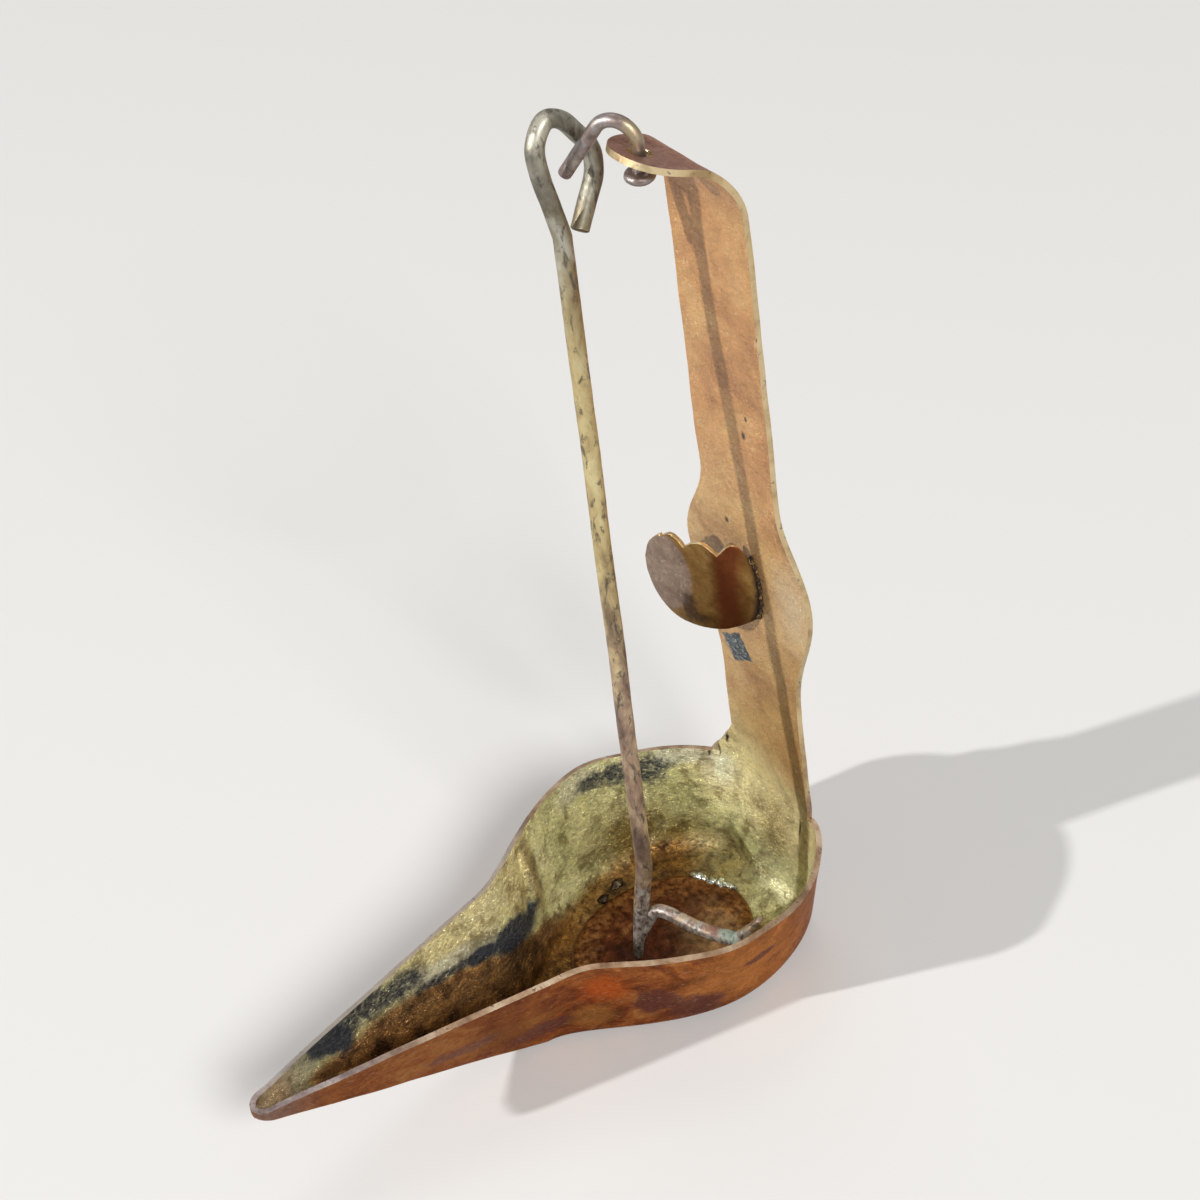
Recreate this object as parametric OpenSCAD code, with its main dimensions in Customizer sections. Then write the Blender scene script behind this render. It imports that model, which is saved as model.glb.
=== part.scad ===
// Drip pan of a hanging oil lamp, hand made from brass sheet and wire.
// The pan, its back strap and the arm on top are one sheet. A wire hook swivels in the arm,
// and a hanging rod with an eye, a spike and a side hook is linked into that hook.
// The frame has +Z up, the spout towards -Y, and its origin under the middle of the pan.

/* [Pan] */
// Length from the back of the strap to the tip of the spout
pan_len = 122; // [100:0.5:150]
// Greatest width across the rim
bowl_w = 58.4; // [50:0.2:70]
// Height of the rim's sides above the table
wall_h = 27; // [20:0.5:36]
// Thickness of the sheet
sheet = 1.15; // [0.8:0.05:1.6]
// From the back of the pan to its widest place
bowl_back = 26; // [20:0.5:32]
// From the back of the pan to the straight sides of the spout
spout_start = 63; // [56:0.5:70]
// Width across the rim where the spout's straight sides start
spout_w = 28.4; // [22:0.2:34]
// Width of the blunt tip of the spout
tip_w = 6; // [5:0.2:9]
// Length of the rounding at the tip
tip_len = 3; // [2:0.1:5]
// How far the rim sinks from the bowl to the tip
tip_drop = 3.5; // [0:0.1:6]
// How far the rim sinks from its sides to the strap
back_drop = 2; // [0:0.1:3]
// Depth of the spout at its tip, outside
tip_depth = 1.7; // [1.6:0.1:4]

/* [Floor] */
// Width across the bottom of the bowl, outside
floor_w = 45; // [41:0.2:48]
// How far the bottom stands in from the back of the rim
back_rake = 2.6; // [2:0.1:6]
// Width of the straight back edge of the bottom
floor_back_w = 24; // [16:0.2:25]
// Width across the bottom where the spout starts
keel_w = 11.6; // [8:0.2:16]
// Rounding from wall to floor in the bowl
floor_r = 2.8; // [1.6:0.1:3]
// Rounding from wall to floor in the spout
keel_r = 1.4; // [0.6:0.1:2.4]
// Thickness of the plate soldered on the floor
plate_t = 0.9; // [0.6:0.1:1.4]
// Length of the floor plate
plate_len = 40; // [30:0.5:41]
// Width of the floor plate
plate_w = 32; // [24:0.5:33]
// From the back of the pan to the floor plate
plate_back = 10.6; // [10.4:0.1:12]

/* [Strap and arm] */
// Width of the flat back of the rim, below the strap
foot_w = 23.2; // [22:0.2:30]
// Width of the strap above its foot
waist_w = 22.4; // [18:0.2:26]
// Width of the strap at its swell
swell_w = 35; // [28:0.2:42]
// Width of the strap above the swell
strap_w = 21; // [16:0.2:25]
// Height of the fillets at the foot, above the rim's sides
foot_h = 8; // [5:0.5:14]
// Height where the swell begins, above the rim's sides
waist_h = 29; // [22:0.5:34]
// Height of the swell's widest place, above the rim's sides
swell_h = 56; // [48:0.5:62]
// Height of the shoulder above the swell, above the rim's sides
shoulder_h = 76; // [68:0.5:84]
// Height of the corner where strap and arm would meet, above the rim's sides
strap_h = 145; // [130:0.5:160]
// Forward lean of the strap
strap_lean = 2.7; // [0:0.1:5]
// Radius of the bend from strap to arm, at mid sheet
bend_r = 12; // [8:0.5:12.5]
// Upward tilt of the arm
arm_tilt = 20; // [16:0.5:26]
// Length of the arm from that corner to its round end
arm_len = 17.2; // [17:0.1:20]
// Width of the arm
arm_w = 16; // [13:0.2:16.4]

/* [Swivel hook] */
// Diameter of the hook's wire
hook_d = 2.4; // [1.8:0.1:3]
// Play of the wire in the arm's hole, across
hole_play = 1.8; // [1.2:0.1:2.6]
// From the arm's round end to the hook's shank, level
shank_inset = 4.1; // [3.8:0.1:5]
// Diameter of the peened head under the arm
head_d = 5.4; // [4.8:0.1:6]
// Height of the peened head
head_h = 2.2; // [1.6:0.1:3]
// Gap between the head and the arm
head_gap = 0.8; // [0.3:0.1:1.2]
// Rise of the straight shank above the middle of the hole
shank_rise = 2; // [1.8:0.1:3]
// Radius of the hook's crest, at mid wire
crest_r = 3.8; // [3.2:0.1:5]
// Turn of the hook's crest
crest_turn = 146; // [130:1:160]
// Length of the hook's straight leg
leg_len = 11.4; // [10.8:0.1:12.4]
// How far the hook points to the far side, from straight ahead
hook_aim = 60; // [50:1:70]

/* [Hanging rod] */
// Diameter of the rod
rod_d = 3.2; // [2.4:0.1:3.4]
// Level turn of the eye, from the X axis
eye_aim = 100; // [90:1:110]
// How far the hook's leg reaches through the eye
leg_through = 1.4; // [1:0.1:2]
// Where the leg passes through the eye, sideways from the rod
eye_cross_u = 3; // [2.6:0.1:3.4]
// Where the leg passes through the eye, above the eye's root
eye_cross_v = 10.6; // [10:0.1:11.4]
// From the back of the pan to the fork of the rod
fork_back = 34.4; // [30:0.2:40]
// The fork's place to the near side of the middle
fork_x = 2.5; // [0:0.1:5]
// Height of the fork above the table
fork_z = 17.6; // [14:0.2:22]
// How far above the fork the rod's foot starts to bend
knee_rise = 9.4; // [7:0.1:14]
// How far the spike splays away from the side hook
spike_splay = 1.5; // [0:0.1:3]
// How far the spike's point stands ahead of the fork
spike_fore = 2.5; // [0:0.1:3.5]
// Gap between the spike's point and the floor plate
spike_gap = 0.9; // [0.3:0.1:2]
// Level turn of the side hook, from the X axis
side_aim = 25; // [15:1:35]
// Level reach of the side hook
side_reach = 18.5; // [14:0.1:20]
// Rise of the side hook's turned-up end
side_rise = 8; // [4:0.2:10]
// Diameter of the side hook's wire at the fork
side_d = 2.4; // [1.8:0.1:2.6]

/* [Leaf bracket] */
// Thickness of the leaf
leaf_t = 0.9; // [0.6:0.05:1.4]
// How far the leaf stands out from the strap
leaf_out = 9.5; // [6:0.1:14]
// How far the leaf reaches to the far side of its root
leaf_reach = 20.4; // [16:0.2:24]
// Place of the leaf's root to the near side of the middle
leaf_x = 2.5; // [-2:0.1:4]
// Height of the leaf's lower edge, above the rim
leaf_low = 42.7; // [38:0.1:46]
// Height of the leaf from its lower to its upper edge
leaf_h = 21.2; // [17:0.2:23]
// Depth of the notches in the upper edge
notch_h = 2.2; // [1:0.1:3]

/* [Hidden] */
$fn = 48;

// How the pan's outline is divided, for one half
back_n = 5;
corner_n = 7;
neck_n = 9;
spout_n = 7;
tip_n = 4;
half_n = back_n + corner_n + neck_n + spout_n + tip_n;
ring_n = 2 * half_n;
// The strap's foot takes in the first points of the bowl's far corner, where its fillet is wide
foot_far = back_n + 2;
foot_near = back_n;
floor_n = back_n + 1;

// How full the outline's curves are: 0 is a straight line, 1 a square corner
corner_pull = 0.25;
side_pull = 0.6;
belly_pull = 0.43;
neck_pull = 0.22;

back_y = pan_len / 2;
tip_y = -pan_len / 2;
wide_y = back_y - bowl_back;
neck_y = back_y - spout_start;
sink_y = back_y - bowl_back - tip_len;
tip_keel_z = wall_h - tip_drop - tip_depth;

function smooth(t) = t * t * (3 - 2 * t);
function clamp(t) = min(1, max(0, t));
function mix(a, b, t) = a + (b - a) * t;
function unit(v) = v / norm(v);
function level(aim) = [cos(aim), sin(aim), 0];
function bezier(a, b, c, d, t) = pow(1 - t, 3) * a + 3 * t * pow(1 - t, 2) * b
    + 3 * t * t * (1 - t) * c + pow(t, 3) * d;

// One half of the pan's outline, from the middle of the back to the middle of the tip
function half_outline(back_half, back, wide_half, neck_half, tip_half, tip) = let (
    tip_root = tip + tip_len,
    spout_dir = [tip_half - neck_half, tip_root - neck_y],
    neck = [neck_half, neck_y],
    wide = [wide_half, wide_y],
    corner = [back_half, back]
) concat(
    [for (i = [0 : back_n]) [back_half * i / back_n, back]],
    [for (i = [1 : corner_n]) bezier(corner, [mix(back_half, wide_half, corner_pull), back],
        [wide_half, mix(wide_y, back, side_pull)], wide, i / corner_n)],
    [for (i = [1 : neck_n]) bezier(wide, [wide_half, mix(wide_y, neck_y, belly_pull)],
        neck - unit(spout_dir) * neck_pull * (wide_y - neck_y), neck, i / neck_n)],
    [for (i = [1 : spout_n]) mix(neck, [tip_half, tip_root], i / spout_n)],
    [for (i = [1 : tip_n]) [tip_half * cos(90 * i / tip_n), tip_root - tip_len * sin(90 * i / tip_n)]]
);

// The whole outline as a closed ring, far side after near side
function ring(half) = concat(half, [for (i = [half_n - 1 : -1 : 1]) [-half[i].x, half[i].y]]);

// Heights of the rim and of the keel at a place along the pan
function rim_z(y) = wall_h - tip_drop * pow(clamp((sink_y - y) / (sink_y - tip_y)), 2)
    - back_drop * smooth(clamp((y - sink_y) / (back_y - sink_y) * 2));
function keel_z(y) = tip_keel_z * clamp((neck_y - y) / (neck_y - tip_y));

// Rows of the pan's wall from the flat of the floor to the rim. The skin is 0 for the outside
// of the sheet and one sheet for its inside.
round_n = 4;
wall_n = 3;
function wall_rows(skin) = let (
    back = back_y - skin,
    tip = tip_y + skin,
    rim = ring(half_outline(foot_w / 2, back, bowl_w / 2 - skin, spout_w / 2 - skin,
        tip_w / 2 - skin, tip)),
    base = ring(half_outline(floor_back_w / 2, back - back_rake, floor_w / 2 - skin,
        keel_w / 2 - skin, tip_w / 2 - skin, tip)),
    flat = ring(half_outline((floor_back_w - floor_r) / 2, back - back_rake - floor_r,
        floor_w / 2 - skin - floor_r, keel_w / 2 - skin - keel_r, (tip_w / 2 - skin) * 0.8, tip)),
    rims = [for (p = rim) [p.x, p.y, rim_z(p.y)]],
    bases = [for (p = base) [p.x, p.y, keel_z(p.y) + skin]],
    flats = [for (p = flat) [p.x, p.y, keel_z(p.y) + skin]],
    shares = [for (i = [0 : ring_n - 1]) min(0.5, norm(bases[i] - flats[i])
        / max(0.01, norm(rims[i] - bases[i])))],
    starts = [for (i = [0 : ring_n - 1]) mix(bases[i], rims[i], shares[i])]
) concat(
    [for (k = [0 : round_n]) let (t = k / round_n) [for (i = [0 : ring_n - 1])
        mix(mix(flats[i], bases[i], t), mix(bases[i], starts[i], t), t)]],
    [for (k = [1 : wall_n]) [for (i = [0 : ring_n - 1]) mix(starts[i], rims[i], k / wall_n)]]
);
row_n = round_n + wall_n + 1;

// Middle line of the strap and arm. It turns from the lean of the strap to the tilt of the arm.
function along(h) = [-sin(h), cos(h)];
function across(h) = [cos(h), sin(h)];
arm_turn = 90 - arm_tilt;
strap_root = [back_y - sheet / 2, wall_h];
bend_reach = bend_r * tan((arm_turn - strap_lean) / 2);
bend_len = bend_r * (arm_turn - strap_lean) * PI / 180;
arm_corner = strap_root + along(strap_lean) * strap_h / cos(strap_lean);
strap_s = strap_h / cos(strap_lean) - bend_reach;
arm_s = strap_s + bend_len;
end_s = arm_s + arm_len - bend_reach;
bend_centre = arm_corner - along(strap_lean) * bend_reach - across(strap_lean) * bend_r;
function turn_at(s) = strap_lean + (arm_turn - strap_lean) * clamp((s - strap_s) / bend_len);
function line_at(s) = s < 0 ? strap_root + [0, s]
    : s < strap_s ? strap_root + along(strap_lean) * s
    : s < arm_s ? bend_centre + across(turn_at(s)) * bend_r
    : arm_corner + along(arm_turn) * (bend_reach + s - arm_s);

// Half width of the strap and arm along that line
function half_width(s) =
    s < waist_h ? waist_w / 2
    : s < swell_h ? mix(waist_w, swell_w, smooth((s - waist_h) / (swell_h - waist_h))) / 2
    : s < shoulder_h ? mix(swell_w, strap_w, smooth((s - swell_h) / (shoulder_h - swell_h))) / 2
    : s < strap_s ? strap_w / 2
    : s < end_s - arm_w / 2
        ? mix(strap_w, arm_w, smooth((s - strap_s) / (end_s - arm_w / 2 - strap_s))) / 2
    : sqrt(max(0, pow(arm_w / 2, 2) - pow(s - end_s + arm_w / 2, 2)));
function steps(a, b, n) = [for (i = [1 : n]) mix(a, b, i / n)];
strap_rows = concat(steps(-back_drop, foot_h, 5), steps(foot_h, waist_h, 1), steps(waist_h, swell_h, 8),
    steps(swell_h, shoulder_h, 7), steps(shoulder_h, strap_s, 2), steps(strap_s, arm_s, 7),
    [for (a = [0 : 15 : 75]) end_s - arm_w / 2 * (1 - sin(a))], [end_s - arm_w / 2 * (1 - sin(84))]);
// Near its foot the strap follows the rim's curve, and the fillets fade out upwards
rim_half = half_outline(foot_w / 2, back_y, bowl_w / 2, spout_w / 2, tip_w / 2, tip_y);
function fade(s) = pow(clamp((foot_h - s) / (foot_h + back_drop)), 1.1);
function strap_face(side) = [for (s = strap_rows) let (
    p = line_at(s) + across(turn_at(s)) * side * sheet / 2
) [for (i = [-foot_far : foot_near]) let (
    r = rim_half[abs(i)],
    x = half_width(s) * i / (i < 0 ? foot_far : foot_near)
) [mix(x, sign(i) * r.x, fade(s)), p.x + (r.y - back_y) * fade(s), p.y]]];

// Faces between two rows of points, given as lists of their numbers
function strip(a, b) = [for (i = [0 : len(a) - 2],
    f = [[a[i], a[i + 1], b[i + 1]], [a[i], b[i + 1], b[i]]]) f];
function closed(a) = concat(a, [a[0]]);
function reversed(a) = [for (i = [len(a) - 1 : -1 : 0]) a[i]];
function numbers(start, n) = [for (i = [0 : n - 1]) start + i];
function joined(rows) = [for (r = rows, p = r) p];

module sheet_pan() {
    strap_n = len(strap_rows);
    cols = foot_far + foot_near + 1;
    inner_0 = row_n * ring_n;
    front_0 = 2 * inner_0;
    rear_0 = front_0 + strap_n * cols;
    outer = [for (r = [0 : row_n - 1]) numbers(r * ring_n, ring_n)];
    inner = [for (r = [0 : row_n - 1]) numbers(inner_0 + r * ring_n, ring_n)];
    // The strap's columns on the rim, from the far edge to the near edge
    foot = [for (i = [-foot_far : foot_near]) (i + ring_n) % ring_n];
    floor_back = [for (i = [-floor_n : floor_n]) (i + ring_n) % ring_n];
    front = concat([[for (i = foot) inner[row_n - 1][i]]],
        [for (r = [0 : strap_n - 1]) numbers(front_0 + r * cols, cols)]);
    rear = concat([[for (i = foot) outer[row_n - 1][i]]],
        [for (r = [0 : strap_n - 1]) numbers(rear_0 + r * cols, cols)]);
    // Floor faces join each near point to its mirror on the far side
    function floor_faces(row) = concat(
        [[for (i = floor_back) row[i]]],
        [for (i = [floor_n : half_n - 2]) [row[ring_n - i], row[i], row[i + 1], row[ring_n - i - 1]]],
        [[row[half_n + 1], row[half_n - 1], row[half_n]]]);
    rim_span = [for (i = [foot_near : ring_n - foot_far]) i];
    edge = [for (r = [0 : strap_n]) r];
    polyhedron(
        points = concat(joined(wall_rows(0)), joined(wall_rows(sheet)),
            joined(strap_face(-1)), joined(strap_face(1))),
        faces = concat(
            [for (f = floor_faces(outer[0])) reversed(f)],
            floor_faces(inner[0]),
            [for (r = [0 : row_n - 2], f = strip(closed(outer[r]), closed(outer[r + 1]))) f],
            [for (r = [0 : row_n - 2], f = strip(closed(inner[r + 1]), closed(inner[r]))) f],
            strip([for (i = rim_span) outer[row_n - 1][i]], [for (i = rim_span) inner[row_n - 1][i]]),
            [for (r = [0 : strap_n - 1], f = strip(front[r], front[r + 1])) reversed(f)],
            [for (r = [0 : strap_n - 1], f = strip(rear[r], rear[r + 1])) f],
            strip([for (r = edge) front[r][0]], [for (r = edge) rear[r][0]]),
            strip([for (r = edge) rear[r][cols - 1]], [for (r = edge) front[r][cols - 1]]),
            strip(front[strap_n], rear[strap_n])
        ),
        convexity = 8
    );
}

// Place of the hook's shank and of the hole round it
shank_y = arm_corner.x - arm_len * cos(arm_tilt) + shank_inset;
shank_arm_z = arm_corner.y + (arm_corner.x - shank_y) * tan(arm_tilt);
hole_d = hook_d + hole_play;
// A vertical wire sits in front of the middle of a hole that is bored square to the arm
hole_back = 0.2;

module pan() {
    color("peru") difference() {
        sheet_pan();
        translate([0, shank_y + hole_back, shank_arm_z - hole_back * tan(arm_tilt)])
            rotate([-arm_tilt, 0, 0]) cylinder(d = hole_d, h = 4 * sheet, center = true);
    }
}

// Oval plate that lies on the floor of the bowl
plate_steps = 40;
module floor_plate() {
    color("saddlebrown") translate([0, back_y - plate_back - plate_len / 2, sheet])
        linear_extrude(plate_t) polygon([for (i = [0 : plate_steps - 1]) let (a = 360 * i / plate_steps)
            [plate_w / 2 * cos(a), plate_len / 2 * sin(a)]]);
}

// The leaf grows from the strap's face, bends to the far side and ends in a round lobe.
// Its points are level offsets from the strap's face, at heights measured along the strap.
// Places along the leaf are parts of its length. Its upper edge is scalloped by notches of one pitch.
leaf_n = 34;
lobe_at = 0.62;
notch_at = 0.281;
notch_pitch = 0.293;
root_rise = 3.6;
root_cut = 0.08;
function leaf_line(t) = bezier([leaf_x, 0], [leaf_x, -leaf_out * 0.42],
    [leaf_x - leaf_reach * 0.63, -leaf_out * 1.03], [leaf_x - leaf_reach, -leaf_out], t);
function leaf_side(t) = let (
    d = unit(leaf_line(min(1, t + 0.01)) - leaf_line(max(0, t - 0.01)))
) [-d.y, d.x];
leaf_steps = [for (i = [1 : leaf_n]) norm(leaf_line(i / leaf_n) - leaf_line((i - 1) / leaf_n))];
function total(v, n) = n == 0 ? 0 : v[n - 1] + total(v, n - 1);
function leaf_part(i) = total(leaf_steps, i) / total(leaf_steps, leaf_n);
function lobe(q) = q < lobe_at ? 1 : sqrt(max(0.03, 1 - pow((q - lobe_at) / (1 - lobe_at), 2)));
function scallop(q) = q > 0.8 ? 0
    : notch_h * (abs(sin(180 * (q - notch_at) / notch_pitch)) - 1) * lobe(q);
leaf_mid = leaf_low + leaf_h / 2;
function leaf_top(q) = leaf_mid + leaf_h / 2 * lobe(q) + scallop(q)
    - root_rise * pow(clamp(1 - q / root_cut), 2);
function leaf_foot(q) = leaf_mid - leaf_h / 2 * lobe(q) + root_rise * pow(clamp(1 - q / lobe_at), 2);
function leaf_row(i, side) = let (
    t = i / leaf_n,
    q = leaf_part(i),
    p = leaf_line(t) + (i == 0 ? [1, 0] : -leaf_side(t)) * side * leaf_t / 2
) [[p.x, p.y, leaf_foot(q)], [p.x, p.y, leaf_top(q)]];

module leaf_bracket() {
    rows = [for (i = [0 : leaf_n]) concat(leaf_row(i, 1), reversed(leaf_row(i, -1)))];
    last = 4 * leaf_n;
    color("darkgoldenrod") translate([0, back_y - sheet, wall_h]) rotate([strap_lean, 0, 0])
        polyhedron(points = joined(rows), faces = concat([[3, 2, 1, 0]],
            [for (r = [0 : leaf_n - 1],
                f = strip(closed(numbers(4 * r, 4)), closed(numbers(4 * r + 4, 4)))) f],
            [numbers(last, 4)]), convexity = 6);
}

// The hook's wire runs up its shank, over its crest and down its leg, in one upright plane
shank_top_z = shank_arm_z + shank_rise;
arm_under_z = shank_arm_z - head_d / 2 * tan(arm_tilt) - sheet / 2 / cos(arm_tilt);
head_top_z = arm_under_z - head_gap;
leg_root = [crest_r * (1 - cos(crest_turn)), shank_top_z + crest_r * sin(crest_turn)];
hook_dir = [-sin(hook_aim), -cos(hook_aim), 0];
// The straight stretches are a hair thinner than the crest, and their ends lie just inside it
straight_d = hook_d - 0.06;
straight_in = 0.3;

module swivel_hook() {
    dome_r = (pow(head_d / 2, 2) + head_h * head_h) / (2 * head_h);
    color("slategray") translate([0, shank_y, 0]) rotate([0, 0, atan2(hook_dir.y, hook_dir.x)]) {
        translate([0, 0, head_top_z - head_h / 2])
            cylinder(d = straight_d, h = shank_top_z - head_top_z + head_h / 2 + straight_in);
        intersection() {
            translate([0, 0, head_top_z - head_h + dome_r]) sphere(r = dome_r);
            translate([0, 0, head_top_z - head_h - 1]) cylinder(d = 2 * head_d, h = head_h + 1);
        }
        translate([crest_r, 0, shank_top_z]) rotate([90, 0, 0]) rotate([0, 0, 180 - crest_turn])
            rotate_extrude(angle = crest_turn) translate([crest_r, 0]) circle(d = hook_d);
        translate([leg_root.x, 0, leg_root.y]) rotate([0, crest_turn, 0]) translate([0, 0, -straight_in])
            cylinder(d = straight_d, h = leg_len + straight_in);
    }
}

// The rod leans from its fork in the pan to the place where the hook's leg passes through its eye
leg_cross = [0, shank_y, 0] + hook_dir * (leg_root.x + (leg_len - leg_through) * sin(crest_turn))
    + [0, 0, leg_root.y + (leg_len - leg_through) * cos(crest_turn)];
fork = [fork_x, back_y - fork_back, fork_z];
rod_mark = leg_cross - level(eye_aim) * eye_cross_u;
rod_dir = unit(rod_mark - fork);
eye_root = rod_mark - rod_dir * eye_cross_v;
eye_out = unit(level(eye_aim) - rod_dir * (level(eye_aim) * rod_dir));
eye_normal = cross(eye_out, rod_dir);
side_dir = level(side_aim);
knee = fork + rod_dir * knee_rise;
spike_point = [fork.x, fork.y - spike_fore, sheet + plate_t + spike_gap] - side_dir * spike_splay;

// Corners of the bent wire, chosen by hand. The eye's are sideways and up from its root.
eye_shape = [[0, 0], [-1.5, 6], [-3, 11.8], [-3.4, 16.8], [-0.9, 20.3], [2.6, 19.4], [5.9, 15.7],
    [8.3, 12.3], [8.5, 8], [6.2, 3.6], [3.8, -0.6]];
function eye_point(p) = eye_root + eye_out * p.x + rod_dir * p.y;
// The side hook's are outwards and up from the fork, after a root low on the spike.
side_shape = [[-0.022, -0.3], [0.06, -0.13], [0.2, -0.07], [0.48, -0.13], [0.735, -0.15], [0.924, -0.125],
    [1.043, -0.1]];
side_root = mix(spike_point, knee, 0.21);
function side_point(p) = fork + side_dir * p.x * side_reach + [0, 0, p.y * side_reach];
side_end = side_point([1.32, -0.1]) + [0, 0, side_rise];

// A smooth line through the given corners
function spline(p, n) = concat([for (i = [0 : len(p) - 2]) let (
    a = p[max(0, i - 1)], b = p[i], c = p[i + 1], d = p[min(len(p) - 1, i + 2)]
) for (k = [0 : n - 1]) let (t = k / n)
    0.5 * (2 * b + (c - a) * t + (2 * a - 5 * b + 4 * c - d) * t * t
        + (3 * b - a - 3 * c + d) * t * t * t)],
    [p[len(p) - 1]]);

// A round wire of changing thickness along a line. The normal is never in line with it.
wire_sides = 14;
module wire(line, radii, normal) {
    n = len(line);
    rings = [for (i = [0 : n - 1]) let (
        dir = unit(line[min(n - 1, i + 1)] - line[max(0, i - 1)]),
        u = unit(cross(dir, normal)),
        v = cross(u, dir)
    ) [for (k = [0 : wire_sides - 1]) let (a = 360 * k / wire_sides)
        line[i] + (u * cos(a) + v * sin(a)) * radii[i]]];
    polyhedron(points = joined(rings), faces = concat(
        [reversed(numbers(0, wire_sides))],
        [for (r = [0 : n - 2], f = strip(closed(numbers(r * wire_sides, wire_sides)),
            closed(numbers((r + 1) * wire_sides, wire_sides)))) f],
        [numbers((n - 1) * wire_sides, wire_sides)]), convexity = 8);
}

module hanging_rod() {
    shaft = concat(spline([spike_point, mix(spike_point, knee, 0.5), knee], 4),
        steps(knee, eye_root, 8), [for (q = spline([for (p = eye_shape) eye_point(p)], 4)) q]);
    // The spike tapers to its point, and the rest has the rod's full thickness
    shaft_line = [for (i = [0 : len(shaft) - 1])
        if (i == 0 || norm(shaft[i] - shaft[i - 1]) > 0.01) shaft[i]];
    spike_len = fork.z - spike_point.z;
    shaft_radii = [for (p = shaft_line) rod_d / 2 * mix(0.6, 1, clamp((p.z - spike_point.z) / spike_len))];
    side = spline(concat([side_root], [for (p = side_shape) side_point(p)], [side_end]), 4);
    // The side hook swells to its middle and thins to its end
    side_radii = [for (i = [0 : len(side) - 1]) let (t = i / (len(side) - 1))
        side_d / 2 * (t < 0.7 ? mix(1, 1.2, t / 0.7) : mix(1.2, 0.7, (t - 0.7) / 0.3))];
    color("darkkhaki") union() {
        wire(shaft_line, shaft_radii, eye_normal);
        wire(side, side_radii, cross(side_dir, [0, 0, 1]));
    }
}

pan();
floor_plate();
leaf_bracket();
swivel_hook();
hanging_rod();
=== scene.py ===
# %% [markdown]
# A hanging oil lamp's drip pan, hand made from brass sheet and wire. The packed solids are loaded
# first, because every piece below has to sit where they sit. They could be dressed with materials
# alone, but cut sheet and bent wire look stiff that way, so each is made again as a finer mesh from
# the same sizes, and the solids stay hidden underneath for the physics.

# %% Load the frame
from math import cos, degrees, exp, pi, radians, sin, sqrt, tan

import bmesh
import bpy
from mathutils import Matrix, Quaternion, Vector, noise


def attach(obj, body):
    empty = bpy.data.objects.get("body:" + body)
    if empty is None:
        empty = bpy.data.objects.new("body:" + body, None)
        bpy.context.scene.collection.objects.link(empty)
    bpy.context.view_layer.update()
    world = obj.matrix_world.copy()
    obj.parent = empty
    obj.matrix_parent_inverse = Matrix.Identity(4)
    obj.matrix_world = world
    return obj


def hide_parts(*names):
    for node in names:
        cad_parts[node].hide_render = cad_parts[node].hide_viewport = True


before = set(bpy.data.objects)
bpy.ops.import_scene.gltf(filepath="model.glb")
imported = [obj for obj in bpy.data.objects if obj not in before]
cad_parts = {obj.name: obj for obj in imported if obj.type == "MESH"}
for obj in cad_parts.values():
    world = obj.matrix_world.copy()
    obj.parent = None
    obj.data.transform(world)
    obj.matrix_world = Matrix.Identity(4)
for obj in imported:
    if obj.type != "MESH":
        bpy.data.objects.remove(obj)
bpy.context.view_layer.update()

# %% [markdown]
# The camera stands where the photograph was taken: to the near side of the spout, high up, and a
# little rolled. A camera could be aimed by hand with a Track To constraint, but its place was found
# by fitting the rim, strap and spout, so the three directions it sees are written down instead.

# %% Place the camera
MM = 0.001
LENS, SENSOR = 72.0, 36.0
NEAREST, FURTHEST = 0.01, 50.0


def camera_from_directions(place, right, up, back):
    """A camera at a place in millimetres, looking against the direction called back."""
    data = bpy.data.cameras.new("photo_camera")
    data.lens, data.sensor_width = LENS, SENSOR
    data.clip_start, data.clip_end = NEAREST, FURTHEST
    camera = bpy.data.objects.new("photo_camera", data)
    turn = Matrix((right, up, back)).transposed().to_quaternion()
    camera.matrix_world = Matrix.Translation(Vector(place) * MM) @ turn.to_matrix().to_4x4()
    bpy.context.scene.collection.objects.link(camera)
    bpy.context.scene.camera = camera
    return camera


camera = camera_from_directions(
    place=(271.7, -144.95, 366.2),
    right=(0.5906, 0.8021, -0.0887),
    up=(-0.4826, 0.4391, 0.7579),
    back=(0.6469, -0.4048, 0.6463),
)
print("camera at", [round(v, 4) for v in camera.location])

# %% [markdown]
# Old brass is never one colour: it has patches of patina, soot, stains and worn edges. Such a finish
# could be painted on with image textures, but here every stain is a soft blot at a place on the
# object, and noise breaks up its border. These short helpers add a node or a few and hand on a socket.

# %% Helpers for finishes


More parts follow.
